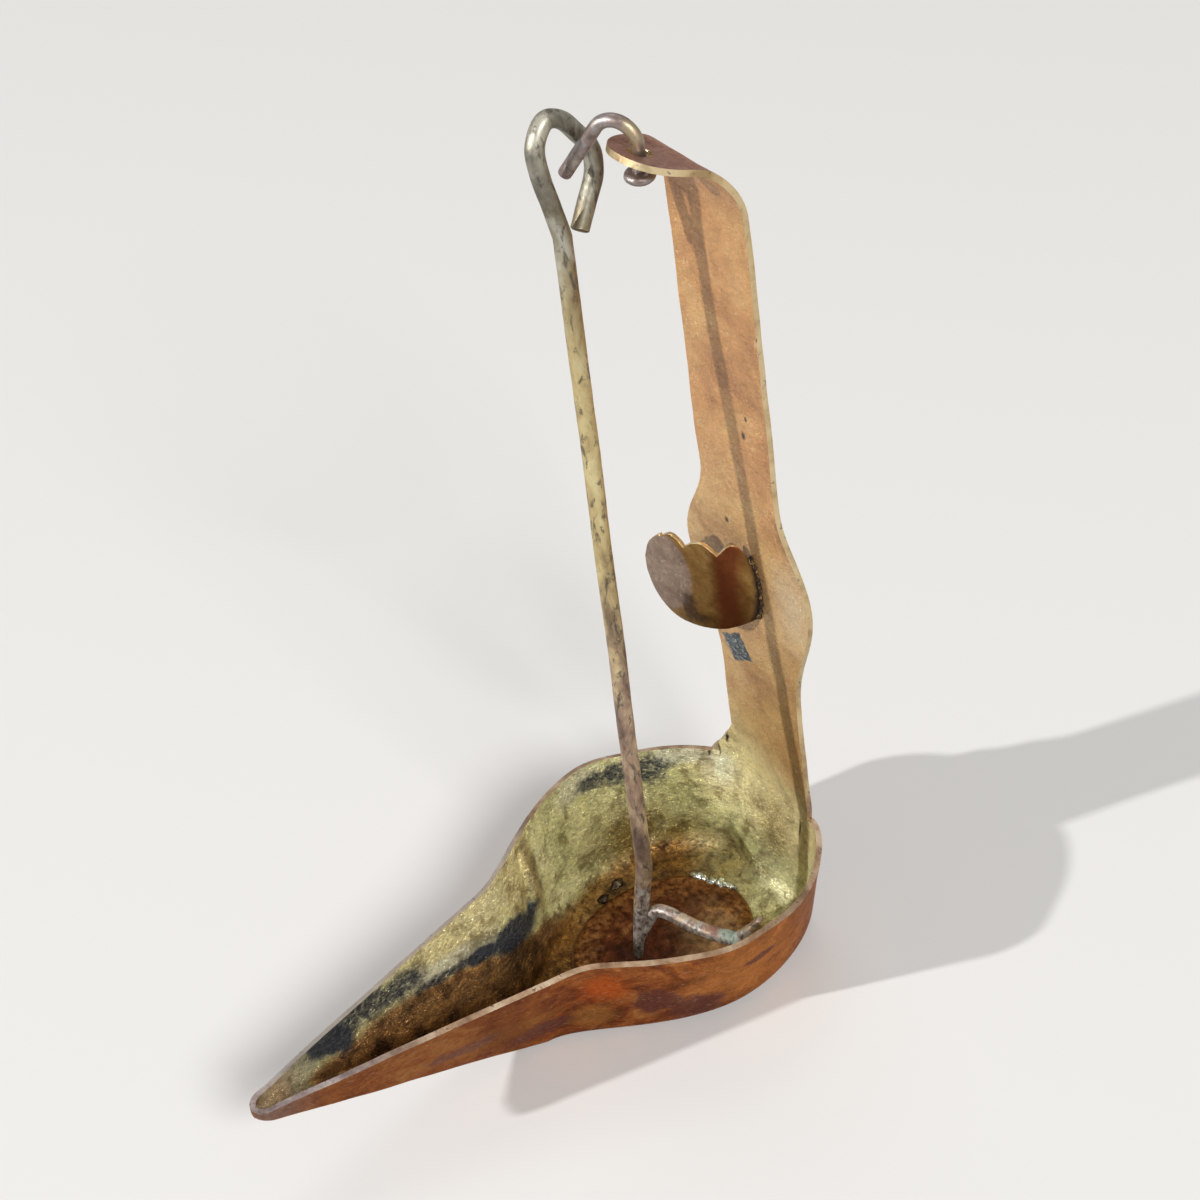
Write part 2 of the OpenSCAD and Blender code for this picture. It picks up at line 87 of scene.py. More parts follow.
class Finish:
    """A finish under construction: its material and shader, the place on the object, the colour so far."""

    def __init__(self, name):
        self.material = bpy.data.materials.new(name)
        self.material.use_nodes = True
        self.nodes, self.links = self.material.node_tree.nodes, self.material.node_tree.links
        self.shader = self.nodes["Principled BSDF"]
        self.place = self.nodes.new("ShaderNodeTexCoord").outputs["Object"]
        self.colour = None

    def put(self, value, socket):
        """Link a socket, or set a plain value."""
        if isinstance(value, bpy.types.NodeSocket):
            self.links.new(value, socket)
        elif socket.type == "RGBA" and len(value) == 3:
            socket.default_value = (*value, 1)
        else:
            socket.default_value = value

    def math(self, kind, a, b=0.0, clamp=False):
        node = self.nodes.new("ShaderNodeMath")
        node.operation, node.use_clamp = kind, clamp
        self.put(a, node.inputs[0])
        self.put(b, node.inputs[1])
        return node.outputs[0]

    def plus(self, a, b, clamp=False):
        return self.math("ADD", a, b, clamp)

    def minus(self, a, b, clamp=False):
        return self.math("SUBTRACT", a, b, clamp)

    def times(self, a, b, clamp=False):
        return self.math("MULTIPLY", a, b, clamp)

    def most(self, *values):
        """The largest of several values."""
        total = values[0]
        for value in values[1:]:
            total = self.math("MAXIMUM", total, value)
        return total

    def vector(self, kind, a, b=(0, 0, 0)):
        node = self.nodes.new("ShaderNodeVectorMath")
        node.operation = kind
        self.put(a, node.inputs[0])
        self.put(b, node.inputs[1])
        return node.outputs["Value" if kind == "LENGTH" else "Vector"]

    def axis(self, letter):
        """One coordinate of the place on the object, in millimetres."""
        split = self.nodes.new("ShaderNodeSeparateXYZ")
        self.put(self.place, split.inputs[0])
        return self.times(split.outputs[letter], 1 / MM)

    def span(self, value, low, high, to_low=0.0, to_high=1.0):
        """A smooth step of a value between two limits."""
        node = self.nodes.new("ShaderNodeMapRange")
        node.interpolation_type = "SMOOTHSTEP"
        self.put(value, node.inputs["Value"])
        for key, number in (("From Min", low), ("From Max", high), ("To Min", to_low), ("To Max", to_high)):
            node.inputs[key].default_value = number
        return node.outputs["Result"]

    def ramp(self, value, *stops):
        """Colours by value: each stop is (position, colour)."""
        node = self.nodes.new("ShaderNodeValToRGB")
        self.put(value, node.inputs["Fac"])
        elements = node.color_ramp.elements
        while len(elements) < len(stops):
            elements.new(0.5)
        for element, (position, colour) in zip(elements, stops):
            element.position, element.color = position, (*colour, 1)
        return node.outputs["Color"]

    def mix(self, share, a, b, kind="MIX"):
        node = self.nodes.new("ShaderNodeMix")
        node.data_type, node.blend_type, node.clamp_result = "RGBA", kind, True
        self.put(share, node.inputs["Factor"])
        self.put(a, node.inputs["A"])
        self.put(b, node.inputs["B"])
        return node.outputs["Result"]

    def grain(self, per_mm, detail=6.0, rough=0.6, warp=0.0, stretch=None):
        """Noise from 0 to 1, with so many features to a millimetre."""
        node = self.nodes.new("ShaderNodeTexNoise")
        place = self.vector("MULTIPLY", self.place, stretch) if stretch else self.place
        self.put(place, node.inputs["Vector"])
        node.inputs["Scale"].default_value = per_mm / MM
        node.inputs["Detail"].default_value = detail
        node.inputs["Roughness"].default_value = rough
        node.inputs["Distortion"].default_value = warp
        return node.outputs["Fac"]

    def blot(self, centre, size, border=0.45, rag=0.6, rag_grain=0.25, chart=None):
        """A stain round a place: 1 inside, 0 outside, with a ragged border. Sizes are in millimetres."""
        unit = 1.0 if chart else MM
        gap = self.vector("SUBTRACT", chart or self.place, [v * unit for v in centre])
        reach = self.vector("LENGTH", self.vector("MULTIPLY", gap, [1 / (v * unit) for v in size]))
        uneven = self.times(self.minus(self.grain(rag_grain, 5, 0.65), 0.5), rag * 2)
        return self.span(self.plus(reach, uneven), 1.0 + border, 1.0 - border)

    def blots(self, *stains, **kind):
        """The union of several stains."""
        return self.most(*[self.blot(*stain, **kind) for stain in stains])

    def stain(self, mask, paint, share=1.0, kind="MIX"):
        """Lays a paint over the colour so far where the mask is 1, at a share of its full strength."""
        part = mask if share == 1.0 else self.times(mask, share)
        self.colour = self.mix(part, self.colour, paint, kind)

    def bump(self, height, depth_mm, strength=1.0, under=None):
        node = self.nodes.new("ShaderNodeBump")
        node.inputs["Strength"].default_value = strength
        node.inputs["Distance"].default_value = depth_mm * MM
        self.put(height, node.inputs["Height"])
        if under:
            self.put(under, node.inputs["Normal"])
        return node.outputs["Normal"]

    def close(self, rough, metal, normal, edge=(1.0, 1.0, 1.0)):
        """Join the parts of the finish to the shader. Edge is the tint of the metal at a flat angle."""
        self.put(self.colour, self.shader.inputs["Base Color"])
        self.put(rough, self.shader.inputs["Roughness"])
        self.put(metal, self.shader.inputs["Metallic"])
        self.put(normal, self.shader.inputs["Normal"])
        self.put(edge, self.shader.inputs["Specular Tint"])
        print("finish", self.material.name, "with", len(self.nodes), "nodes")
        return self.material


print("helpers", [name for name in vars(Finish) if not name.startswith("_")])

# %% [markdown]
# The stage is one pale floor. Near the object it is plain paint that takes the shadow. A floor of finite
# size would end in a hard line behind the object, so further off it fades into the colour of the world.
# The fade is only for the eye and for mirrors: light that bounces on to dull surfaces meets real paint.

# %% Build the floor
BACKDROP, BACKDROP_LEVEL = (1.0, 0.985, 0.96), 0.54
FLOOR_PAINT, FLOOR_GLOW, FLOOR_HALF, FLOOR_SINK = (0.64, 0.63, 0.615), 0.79, 7.0, 0.0002
scene = bpy.context.scene


def sight(nodes, links):
    """A socket that is 1 for the eye, for metal and for glass, and 0 for light on dull surfaces."""
    path = nodes.new("ShaderNodeLightPath")
    kinds = [path.outputs[key] for key in ("Is Camera Ray", "Is Glossy Ray", "Is Transmission Ray")]
    total = kinds[0]
    for kind in kinds[1:]:
        either = nodes.new("ShaderNodeMath")
        either.operation = "MAXIMUM"
        links.new(total, either.inputs[0])
        links.new(kind, either.inputs[1])
        total = either.outputs[0]
    return total


def pale_paint():
    """Paint that fades, with the distance in metres, into the even grey of the backdrop."""
    f = Finish("pale_floor")
    for key, value in (("Base Color", FLOOR_PAINT), ("Roughness", 0.9), ("Specular IOR Level", 0.1)):
        f.put(value, f.shader.inputs[key])
    away = f.vector("LENGTH", f.place)
    glow, fade = f.nodes.new("ShaderNodeEmission"), f.nodes.new("ShaderNodeMixShader")
    f.put(BACKDROP, glow.inputs["Color"])
    f.put(f.span(away, 0.7, 5.0, FLOOR_GLOW, BACKDROP_LEVEL), glow.inputs["Strength"])
    share = f.times(f.span(away, 0.3, 0.9), sight(f.nodes, f.links))
    for source, socket in zip((share, f.shader.outputs[0], glow.outputs[0]), fade.inputs):
        f.put(source, socket)
    f.put(fade.outputs[0], f.nodes["Material Output"].inputs["Surface"])
    return f.material


def pale_floor():
    """A square of floor, a hair below the object so that the two don't flicker."""
    mesh = bpy.data.meshes.new("floor")
    corners = [(x * FLOOR_HALF, y * FLOOR_HALF, 0) for x, y in ((-1, -1), (1, -1), (1, 1), (-1, 1))]
    mesh.from_pydata(corners, [], [(0, 1, 2, 3)])
    mesh.materials.append(pale_paint())
    floor = bpy.data.objects.new("floor", mesh)
    floor.location.z = -FLOOR_SINK
    scene.collection.objects.link(floor)
    return floor


print("stage", pale_floor().name, 2 * FLOOR_HALF, "m wide")

# %% [markdown]
# The light is plain studio light. A small lamp low in front throws the thin rod's shadow on the strap, where
# the photograph has a stripe, and a broad one at the side softens it. A sky texture would colour the brass,
# so the world is an even grey, and metal and camera see it as pale.

# %% Light the stage
LAMP_DISTANCE, LAMP_AIM, WORLD_LIGHT = 4.0, (0, 0.03, 0.09), 0.2
scene.view_settings.view_transform = "Standard"


def softbox(name, direction, size, watts):
    """A round lamp of a size in metres, in a direction from the object and facing it."""
    data = bpy.data.lights.new(name, "AREA")
    data.shape, data.size, data.energy = "DISK", size, watts
    lamp = bpy.data.objects.new(name, data)
    lamp.location = Vector(LAMP_AIM) + Vector(direction).normalized() * LAMP_DISTANCE
    lamp.rotation_mode = "QUATERNION"
    lamp.rotation_quaternion = Vector(direction).to_track_quat("Z", "Y")
    scene.collection.objects.link(lamp)


def grey_world(seen, lit):
    """The world is one brightness for the eye and for metal, and another as light on dull surfaces."""
    world = bpy.data.worlds.new("studio")
    scene.world = world
    world.use_nodes = True
    nodes, links = world.node_tree.nodes, world.node_tree.links
    level = nodes.new("ShaderNodeMapRange")
    links.new(sight(nodes, links), level.inputs["Value"])
    level.inputs["To Min"].default_value, level.inputs["To Max"].default_value = lit, seen
    links.new(level.outputs["Result"], nodes["Background"].inputs["Strength"])
    nodes["Background"].inputs["Color"].default_value = (*BACKDROP, 1)


softbox("key", (-0.27, -0.9, 0.42), 0.11, 160.0)
softbox("side_fill", (1.0, -0.12, 0.85), 1.4, 155.0)
softbox("top_fill", (-0.5, 0.3, 1.0), 2.2, 22.0)
grey_world(BACKDROP_LEVEL, WORLD_LIGHT)

# %% [markdown]
# The sheet's sizes come first, in millimetres, and they are the solid's own. The finishes need them too,
# because a stain on a wall is easier to place by how far it lies along the pan and below the rim than in
# space. So the far wall gets a flat chart, as a map has.

# %% Sizes of the pan and a chart of its far wall
PAN_LEN, BOWL_W, WALL_H, SHEET = 122.0, 58.4, 27.0, 1.15
BACK_Y, TIP_Y = PAN_LEN / 2, -PAN_LEN / 2
WIDE_Y, NECK_Y = BACK_Y - 26.0, BACK_Y - 63.0
TIP_LEN, TIP_DROP, BACK_DROP = 3.0, 3.5, 2.0
SINK_Y = WIDE_Y - TIP_LEN
SOOT_SLOPE, SOOT_Y, SINK_END, OFF_CHART = 0.22, -4.0, 46, 1000.0


def wall_chart(f, slope=0.0, near=OFF_CHART):
    """Place along the pan, depth below a line at the rim, and how far off the chart the near wall is."""
    y, z = f.axis("Y"), f.axis("Z")
    fore = f.math("POWER", f.times(f.minus(SINK_Y, y), 1 / (SINK_Y - TIP_Y), clamp=True), 2.0)
    rim = f.minus(f.minus(WALL_H, f.times(fore, TIP_DROP)), f.span(y, SINK_Y, SINK_END, 0, BACK_DROP))
    line = f.minus(rim, f.times(f.minus(y, SOOT_Y), slope))
    chart = f.nodes.new("ShaderNodeCombineXYZ")
    for value, socket in zip((y, f.minus(line, z), f.span(f.axis("X"), -1, 1, 0, near)), chart.inputs):
        f.put(value, socket)
    return chart.outputs[0]


print("pan", PAN_LEN, "by", BOWL_W, "mm, rim at", WALL_H, "mm")

# %% [markdown]
# The inside of the bowl is olive gold with a fine scratched grain, and up the strap it turns to tan. One
# finish does both, because the sheet is one piece: the height on the object decides which colour shows.
# The finish is long, so it is built up over several cells, as a patina builds up in layers.

# %% Ground colour of the inner side
inner = Finish("inner_brass")
wall, slant = wall_chart(inner), wall_chart(inner, SOOT_SLOPE)
both_walls = wall_chart(inner, SOOT_SLOPE, near=0.0)
patches, mottles = inner.grain(0.06, 6, 0.6, 0.5), inner.grain(0.24, 7, 0.66, 0.4)
wrinkles = inner.grain(1.25, 6, 0.7, 0.9, stretch=(0.75, 0.75, 1.6))
high = inner.span(inner.plus(inner.axis("Z"), inner.times(inner.axis("X"), 0.35)), 14, 42)
bowl = inner.ramp(patches, (0.30, (0.42, 0.41, 0.19)), (0.48, (0.74, 0.72, 0.39)),
                  (0.66, (0.90, 0.88, 0.55)))
strap = inner.ramp(patches, (0.34, (0.32, 0.165, 0.065)), (0.5, (0.47, 0.275, 0.108)),
                   (0.66, (0.55, 0.375, 0.158)))
coppery = inner.times(inner.span(inner.axis("Z"), 70, 120), 0.7)
inner.colour = inner.mix(high, bowl, inner.mix(coppery, strap, (1.0, 0.78, 0.68), "MULTIPLY"))
print("ground colour of the inner side,", len(inner.nodes), "nodes so far")

# %% [markdown]
# The far wall has green and ochre patches where oil dried, gold where it was rubbed, a painted pale
# highlight near the rim, painted light at the strap's foot, and a dark line of painted shade in its
# fold. A single noise with many colours would let them fall anywhere, so each is a blot or two at its
# own place, laid over the ground one after the other.

# %% Stains on the bowl's wall
green = inner.blots(((-20, 50, 12), (9, 7, 8)), ((-22, 23, 15), (5, 4, 8)), ((-9, 56, 5), (9, 6, 5)),
                    rag=0.9)
ochre = inner.blots(((-22, 40, 7), (7, 8, 7)), ((-17, 46, 4), (9, 7, 5)), ((2, 58, 16), (5, 4, 9)),
                    rag=0.7, border=0.75)
gold = inner.blots(((-9, 3, 0), (14, 6.5, 1)), ((8, 3, 0), (5.5, 10, 1)), chart=wall, rag=0.35)
# Pale gold at the strap's foot: partly the brass's own colour, partly painted light where the lamp falls.
foot_gold_and_light = inner.blots(((-12, 59, 23), (12, 6, 10)), ((0, 59, 20), (14, 6, 9)), rag=0.6)
# A painted highlight: a pale hot spot on the strap's foot.
painted_foot_highlight = inner.blot((-14.5, 58.7, 21.5), (3.4, 4, 4.5), rag=0.5, border=0.8)
# A painted highlight: pale grey-green blots just under the far rim.
painted_rim_highlight = inner.blots(((31, 2.5, 0), (6, 3, 1)), ((53, 1.5, 0), (5, 2, 1)), chart=wall, rag=0.6)
haze = inner.blot((-12, 8.6, 0), (12, 1.9, 1), chart=slant, rag=0.5, border=0.6)
dust = inner.blot((-50, 3, 0), (5, 4, 1), chart=wall, rag=0.5)
# Painted shade: a dark line along the crease of the far wall.
painted_fold_shade = inner.blot((13.4, 8, 0), (1.7, 9, 1), chart=wall, border=0.5, rag=0.2)
inner.stain(green, (0.43, 0.43, 0.18), 0.55)
inner.stain(ochre, (0.17, 0.108, 0.018), 0.92)
# Gold patches, and painted light at the strap's foot.
inner.stain(inner.most(gold, foot_gold_and_light), (0.90, 0.77, 0.42), 0.75)
# Paints the highlight on the strap's foot.
inner.stain(painted_foot_highlight, (0.98, 0.93, 0.68), 0.9)
# Pale: the painted highlight near the rim, and a pale haze on the spout.
inner.stain(inner.most(painted_rim_highlight, haze), (0.70, 0.71, 0.60), 0.65)
inner.stain(dust, (0.30, 0.29, 0.26), 0.6)
# Paints the shade in the far wall's crease.
inner.stain(painted_fold_shade, (0.22, 0.125, 0.04), 0.7)
print("stains on the wall,", len(inner.nodes), "nodes so far")

# %% [markdown]
# Low in the bowl and along the keel of the spout, burnt oil left brown grime. Height could mark it alone, but
# then its border would be a level line, so noise is added to the height first. At the back it is wiped thin.
# Low at the neck of the spout a dark blot is painted shade.

# %% Grime on the floor and the keel
thinned = inner.blot((-6, 53.5, 4), (11, 6.5, 6), rag=0.7, border=0.7)
wiped = inner.blot((5, 53.5, 5), (8, 5.5, 7), rag=0.6, border=0.6)
spared = inner.most(inner.times(thinned, 0.45), inner.times(wiped, 0.85))
low_down = inner.span(inner.plus(inner.axis("Z"), inner.times(mottles, 5.0)), 8.2, 4.4)
floor_grime = inner.times(low_down, inner.minus(1.0, spared))
keel_grime = inner.blot((-18, 27, 0), (42, 16.4, 1), chart=both_walls, border=0.08, rag=0.14, rag_grain=0.12)
# Painted shade: a dark blot low at the neck of the spout.
painted_neck_shade = inner.blot((-8, 0.5, 10), (8, 6, 5), rag=0.6, border=0.7)
burnt_tip = inner.blot((0, -56, 21), (6, 6, 6), rag=0.5)
brown = inner.ramp(mottles, (0.36, (0.115, 0.042, 0.014)), (0.5, (0.24, 0.098, 0.031)),
                   (0.64, (0.40, 0.19, 0.06)))
crumbs = inner.ramp(inner.grain(0.34, 7, 0.68, 0.2), (0.36, (0.065, 0.025, 0.006)),
                    (0.5, (0.17, 0.076, 0.015)), (0.66, (0.31, 0.165, 0.038)))
inner.stain(keel_grime, brown, 0.92)
inner.stain(floor_grime, crumbs, 0.94)
inner.stain(burnt_tip, (0.46, 0.32, 0.22), 0.8)
inner.stain(wiped, (0.70, 0.71, 0.47), 0.55)
# Paints the shade at the neck.
inner.stain(painted_neck_shade, (0.05, 0.026, 0.013), 0.6)
print("grime,", len(inner.nodes), "nodes so far")

# %% [markdown]
# Hammering and scouring left a wrinkled, scratched skin, stronger in the bowl than on the strap. A bump alone
# looks too clean, because dirt stays in the hollows. So the same noise that drives the bump later darkens
# the hollows with dirt and paints little highlights on the ridges here.

# %% Wrinkles and scratches
veins = inner.grain(0.45, 5, 0.6, 2.5, stretch=(1, 0.8, 1.3))
scratch_gap = inner.span(inner.math("ABSOLUTE", inner.minus(veins, 0.5)), 0.0, 0.03)
worked = inner.minus(1.0, inner.times(high, 0.72))
mottled = inner.ramp(mottles, (0.37, (0.48, 0.44, 0.36)), (0.5, (1.0, 1.0, 1.0)), (0.63, (1.2, 1.18, 1.1)))
# Dirt in the hollows of the wrinkles, and painted highlights on their highest ridges.
wrinkle_dirt_and_glints = inner.ramp(wrinkles, (0.38, (0.45, 0.42, 0.36)), (0.5, (0.92, 0.92, 0.9)),
                      (0.60, (1.2, 1.18, 1.1)), (0.68, (1.7, 1.68, 1.55)))
inner.stain(worked, mottled, kind="MULTIPLY")
inner.stain(worked, wrinkle_dirt_and_glints, kind="MULTIPLY")
clean_wall = inner.minus(worked, inner.most(floor_grime, keel_grime), clamp=True)
scratched = inner.times(inner.minus(1.0, scratch_gap), inner.times(clean_wall, 0.4))
inner.stain(scratched, (0.14, 0.10, 0.045))
print("wrinkles and scratches,", len(inner.nodes), "nodes so far")

# %% [markdown]
# Blue-black soot lies where the wick burned: a dense streak along the far wall, thinner smoke towards the
# tip, and a smudge at the rim. One even black would look painted on, so the soot takes its tone from the
# wrinkles under it, and where it is thin they show through.

# %% Soot
soot = inner.blots(((4.0, 10.9, 0), (8.2, 2.9, 1)), ((-5, 10.6, 0), (6, 1.6, 1)),
                   ((-40.5, 10.4, 0), (4.6, 3.4, 1)), ((-44, 9.8, 0), (3.6, 2.6, 1)),
                   chart=slant, rag=0.7, rag_grain=0.2, border=0.3)
smoke = inner.blots(((-15, 10.4, 0), (8, 1.0, 1)), ((-24, 7.6, 0), (5, 2.6, 1)), ((-31, 7.6, 0), (8, 2.8, 1)),
                    ((-37, 8.6, 0), (4, 2.4, 1)), chart=slant, rag=0.8, rag_grain=0.24)
rim_soot = inner.blots(((35, 4, 0), (3.8, 2.0, 1)), ((40.5, 3.4, 0), (3.0, 2.8, 1)),
                       ((47, 4, 0), (3.8, 3.4, 1)), chart=wall, rag=1.0, rag_grain=0.45)
thin_soot = inner.times(inner.most(smoke, rim_soot), inner.span(wrinkles, 0.66, 0.46, 0.55, 0.95))
lampblack = inner.ramp(wrinkles, (0.42, (0.010, 0.013, 0.022)), (0.66, (0.065, 0.075, 0.10)))
inner.stain(inner.most(inner.times(soot, 0.97), thin_soot), lampblack)
print("soot,", len(inner.nodes), "nodes so far")

# %% [markdown]
# The strap carries the scars of its making: a small slanted patch scraped to dark bare metal below the leaf,
# a few pits, and slits where the sheet pleated at its feet. A blot is round, so the patch is the larger of
# two distances instead, each from a slanted line.

# %% Scars on the strap
SCRAPE_X, SCRAPE_Z = -5.8, 60.0
beside, above = inner.minus(inner.axis("X"), SCRAPE_X), inner.minus(inner.axis("Z"), SCRAPE_Z)
one_way = inner.math("ABSOLUTE", inner.plus(inner.times(beside, 0.2415), inner.times(above, 0.145)))
other_way = inner.math("ABSOLUTE", inner.minus(inner.times(beside, 0.167), inner.times(above, 0.2635)))
ragged = inner.times(inner.minus(inner.grain(0.6, 4), 0.5), 0.5)
scraped = inner.span(inner.plus(inner.most(one_way, other_way), ragged), 1.02, 0.88)
bare_metal = inner.ramp(wrinkles, (0.42, (0.012, 0.017, 0.022)), (0.54, (0.05, 0.068, 0.075)),
                        (0.64, (0.34, 0.38, 0.36)))
# Painted highlights: small pale specks on the strap.
strap_painted_glints = inner.span(inner.grain(1.1, 5, 0.66, 0.6, stretch=(1.2, 1.2, 0.7)), 0.61, 0.70)
cloud = inner.blot((13, 57, 82), (4.5, 4, 9), rag=0.7, border=0.8)
pits = inner.blots(((-4.2, 56.7, 92.9), (0.5, 2, 0.6)), ((3.8, 55.6, 116.9), (0.42, 2, 0.85)),
                   ((4.9, 55.4, 121), (0.25, 2, 0.5)), rag=0.3, border=0.6)
slits = inner.blots(((-16.6, 58.4, 25.0), (0.22, 2.5, 1.7)), ((-14.8, 59.2, 26.4), (0.2, 2.5, 2.4)),
                    ((-12.6, 59.6, 30.5), (0.22, 2, 1.4)), ((9.2, 59, 21), (0.25, 2, 2.2)),
                    rag=0.3, border=0.6)
hollows = inner.most(pits, slits)
inner.stain(scraped, bare_metal)
# Paints the small highlights on the strap.
inner.stain(inner.times(strap_painted_glints, inner.times(high, 0.45)), (0.86, 0.72, 0.50))
inner.stain(cloud, (0.66, 0.62, 0.47), 0.3)
inner.stain(hollows, (0.02, 0.014, 0.01))
print("scars,", len(inner.nodes), "nodes so far")

# %% [markdown]
# Last come gloss and relief. Patina is half metal, half oxide, so its metal share lies in the middle. Where
# oil dried it is set higher, because a low share adds a pale sheen that dark grime doesn't have. One bump
# could hold all the relief, but wrinkles and broad ripples are easier to set apart, one over the other.

# %% Gloss and relief of the inner side
rough = inner.plus(inner.span(wrinkles, 0.36, 0.62, 0.44, 0.2), inner.times(floor_grime, 0.12), clamp=True)
oily = inner.times(inner.most(ochre, floor_grime, inner.times(keel_grime, 0.7)), 0.3)
metal = inner.plus(inner.span(high, 0, 1, 0.5, 0.36), oily)
metal = inner.minus(metal, inner.times(hollows, 0.3), clamp=True)
ripples = inner.grain(0.4, 5, 0.6, 0.6, stretch=(0.8, 0.8, 1.3))
normal = inner.bump(inner.times(wrinkles, worked), 0.22, 0.9)
normal = inner.bump(scratch_gap, 0.06, 0.6, normal)
normal = inner.bump(inner.times(ripples, worked), 0.32, 0.7, normal)
normal = inner.bump(inner.minus(1.0, hollows), 0.3, 0.8, normal)
inner_finish = inner.close(rough, metal, normal)

# %% [markdown]
# The outer side has darkened to copper brown, with plum patches low on the near wall and gold where
# hands rubbed it. The spout is duller, and grey at its tip, and the top of the arm is a dull purple brown.
# A second finish is easier to read than one that first asks which side of the sheet it is on.

# %% Finish of the sheet's outer side


def stain_outer_wall(f):
    """Tan, gold, ember red and plum on the near wall, and a dull grey towards the tip of the spout."""
    tan_part = f.blot((27, 33, 15), (6, 12, 13), rag=0.6, border=0.8)
    gold = f.blots(((12, 5, 8), (5, 5, 4)), ((8, -14, 14), (4, 14, 4)), ((14, 3, 2), (4, 5, 3)), rag=0.7)
    ember = f.blot((15.5, 6, 18.5), (4, 4.4, 5), rag=0.5, border=0.6)
    plum = f.blots(((19, 15.5, 11), (5, 5, 5)), ((22, 22, 7), (5, 6, 5)), ((8.5, -5, 8), (4, 7, 3)),
                   ((6.5, -20, 15), (3, 8, 2)), ((26.9, 34.8, 17), (2, 4, 1.2)), ((27, 42, 12), (2, 5, 1.0)),
                   border=0.3, rag=0.8, rag_grain=0.22)
    f.stain(tan_part, (0.56, 0.25, 0.085), 0.6)
    f.stain(gold, (0.40, 0.195, 0.058), 0.6)
    f.stain(ember, (0.52, 0.115, 0.020), 0.85)
    f.stain(plum, (0.075, 0.016, 0.011), 0.9)
    f.stain(f.span(f.axis("Y"), 0, -12), (0.13, 0.050, 0.028), 0.6)
    f.stain(f.span(f.axis("Y"), -46, -59), (0.20, 0.155, 0.14), 0.6)
    return plum


def outer_copper():
    f = Finish("outer_copper")
    patches, streaks = f.grain(0.05, 6, 0.62, 0.6), f.grain(0.17, 6, 0.66, 1.2, stretch=(1, 0.7, 1.2))
    fine, outer_painted_glints = f.grain(1.1, 7, 0.7, 0.6), f.grain(1.5, 4, 0.6, 0.5)
    both = f.plus(f.times(patches, 0.6), f.times(streaks, 0.4))
    wall = f.ramp(both, (0.41, (0.080, 0.022, 0.010)), (0.47, (0.21, 0.064, 0.022)),
                  (0.53, (0.36, 0.130, 0.042)), (0.60, (0.50, 0.25, 0.090)))
    strap = f.ramp(both, (0.36, (0.30, 0.15, 0.07)), (0.5, (0.52, 0.32, 0.15)), (0.65, (0.60, 0.42, 0.20)))
    f.colour = f.mix(f.span(f.axis("Z"), 24, 44), wall, strap)
    plum = stain_outer_wall(f)
    arm = f.ramp(both, (0.38, (0.17, 0.105, 0.10)), (0.5, (0.32, 0.215, 0.20)), (0.64, (0.46, 0.34, 0.30)))
    f.stain(f.span(f.axis("Z"), 164, 172), arm)
    skin = f.ramp(fine, (0.36, (0.68, 0.65, 0.62)), (0.54, (1.0, 1.0, 1.0)), (0.7, (1.16, 1.13, 1.06)))
    f.stain(0.85, skin, kind="MULTIPLY")
    scratches = f.span(f.grain(2.0, 5, 0.62, 0.5, stretch=(0.6, 0.28, 1.5)), 0.57, 0.70)
    f.stain(scratches, (0.66, 0.43, 0.28), 0.4)
    # Painted highlights: tiny pale sparkles on the outer side.
    f.stain(f.span(outer_painted_glints, 0.70, 0.76), (0.80, 0.58, 0.36))
    normal = f.bump(fine, 0.12, 0.5)
    normal = f.bump(streaks, 0.25, 0.45, normal)
    normal = f.bump(scratches, 0.05, 0.5, normal)
    metal = f.minus(0.82, f.times(plum, 0.2))
    return f.close(f.span(fine, 0.3, 0.7, 0.44, 0.27), metal, normal, edge=(0.8, 0.46, 0.30))


outer_finish = outer_copper()

# %% [markdown]
# Cut edges are where sheet wears bright. They are grey at the tip and along the spout, and pale gold
# on the strap. A painted highlight lies along the far rim near the neck. Wear could come from a
# pointiness mask, but the edges are faces of their own here, so they simply get their own finish.

# %% Finish of the worn edges


def worn_edge():
    f = Finish("worn_edge")
    patches, nicks = f.grain(0.16, 6, 0.65), f.grain(0.9, 6, 0.7, 0.8)
    strap = f.ramp(patches, (0.34, (0.40, 0.27, 0.14)), (0.5, (0.62, 0.47, 0.26)), (0.66, (0.70, 0.56, 0.34)))
    rim = f.ramp(patches, (0.34, (0.22, 0.13, 0.08)), (0.5, (0.46, 0.31, 0.20)), (0.66, (0.66, 0.52, 0.37)))
    tip = f.ramp(patches, (0.34, (0.12, 0.085, 0.08)), (0.5, (0.24, 0.185, 0.175)),
                 (0.66, (0.42, 0.36, 0.33)))
    f.colour = f.mix(f.span(f.axis("Y"), -22, -46), rim, tip)
    # A painted highlight along the far rim, near the neck of the spout.
    far_rim_highlight = f.times(f.span(f.axis("X"), -2, -5), f.span(f.axis("Y"), 20, 6))
    f.stain(far_rim_highlight, (0.66, 0.60, 0.53), 0.6)
    f.stain(f.span(f.axis("Z"), 27, 34), strap)
    f.stain(f.span(nicks, 0.42, 0.32), (0.10, 0.065, 0.05))
    return f.close(f.span(nicks, 0.3, 0.7, 0.5, 0.28), 0.95, f.bump(nicks, 0.08, 0.5))


edge_finish = worn_edge()

# %% [markdown]
# The pan, strap and arm are one sheet. It could be carved from a solid, but sheet is best drawn as a
# surface at the middle of its thickness: the outline of the floor, the rounding, the wall up to the rim,
# and then the strap, which grows out of the back of the rim. Thickness comes later.

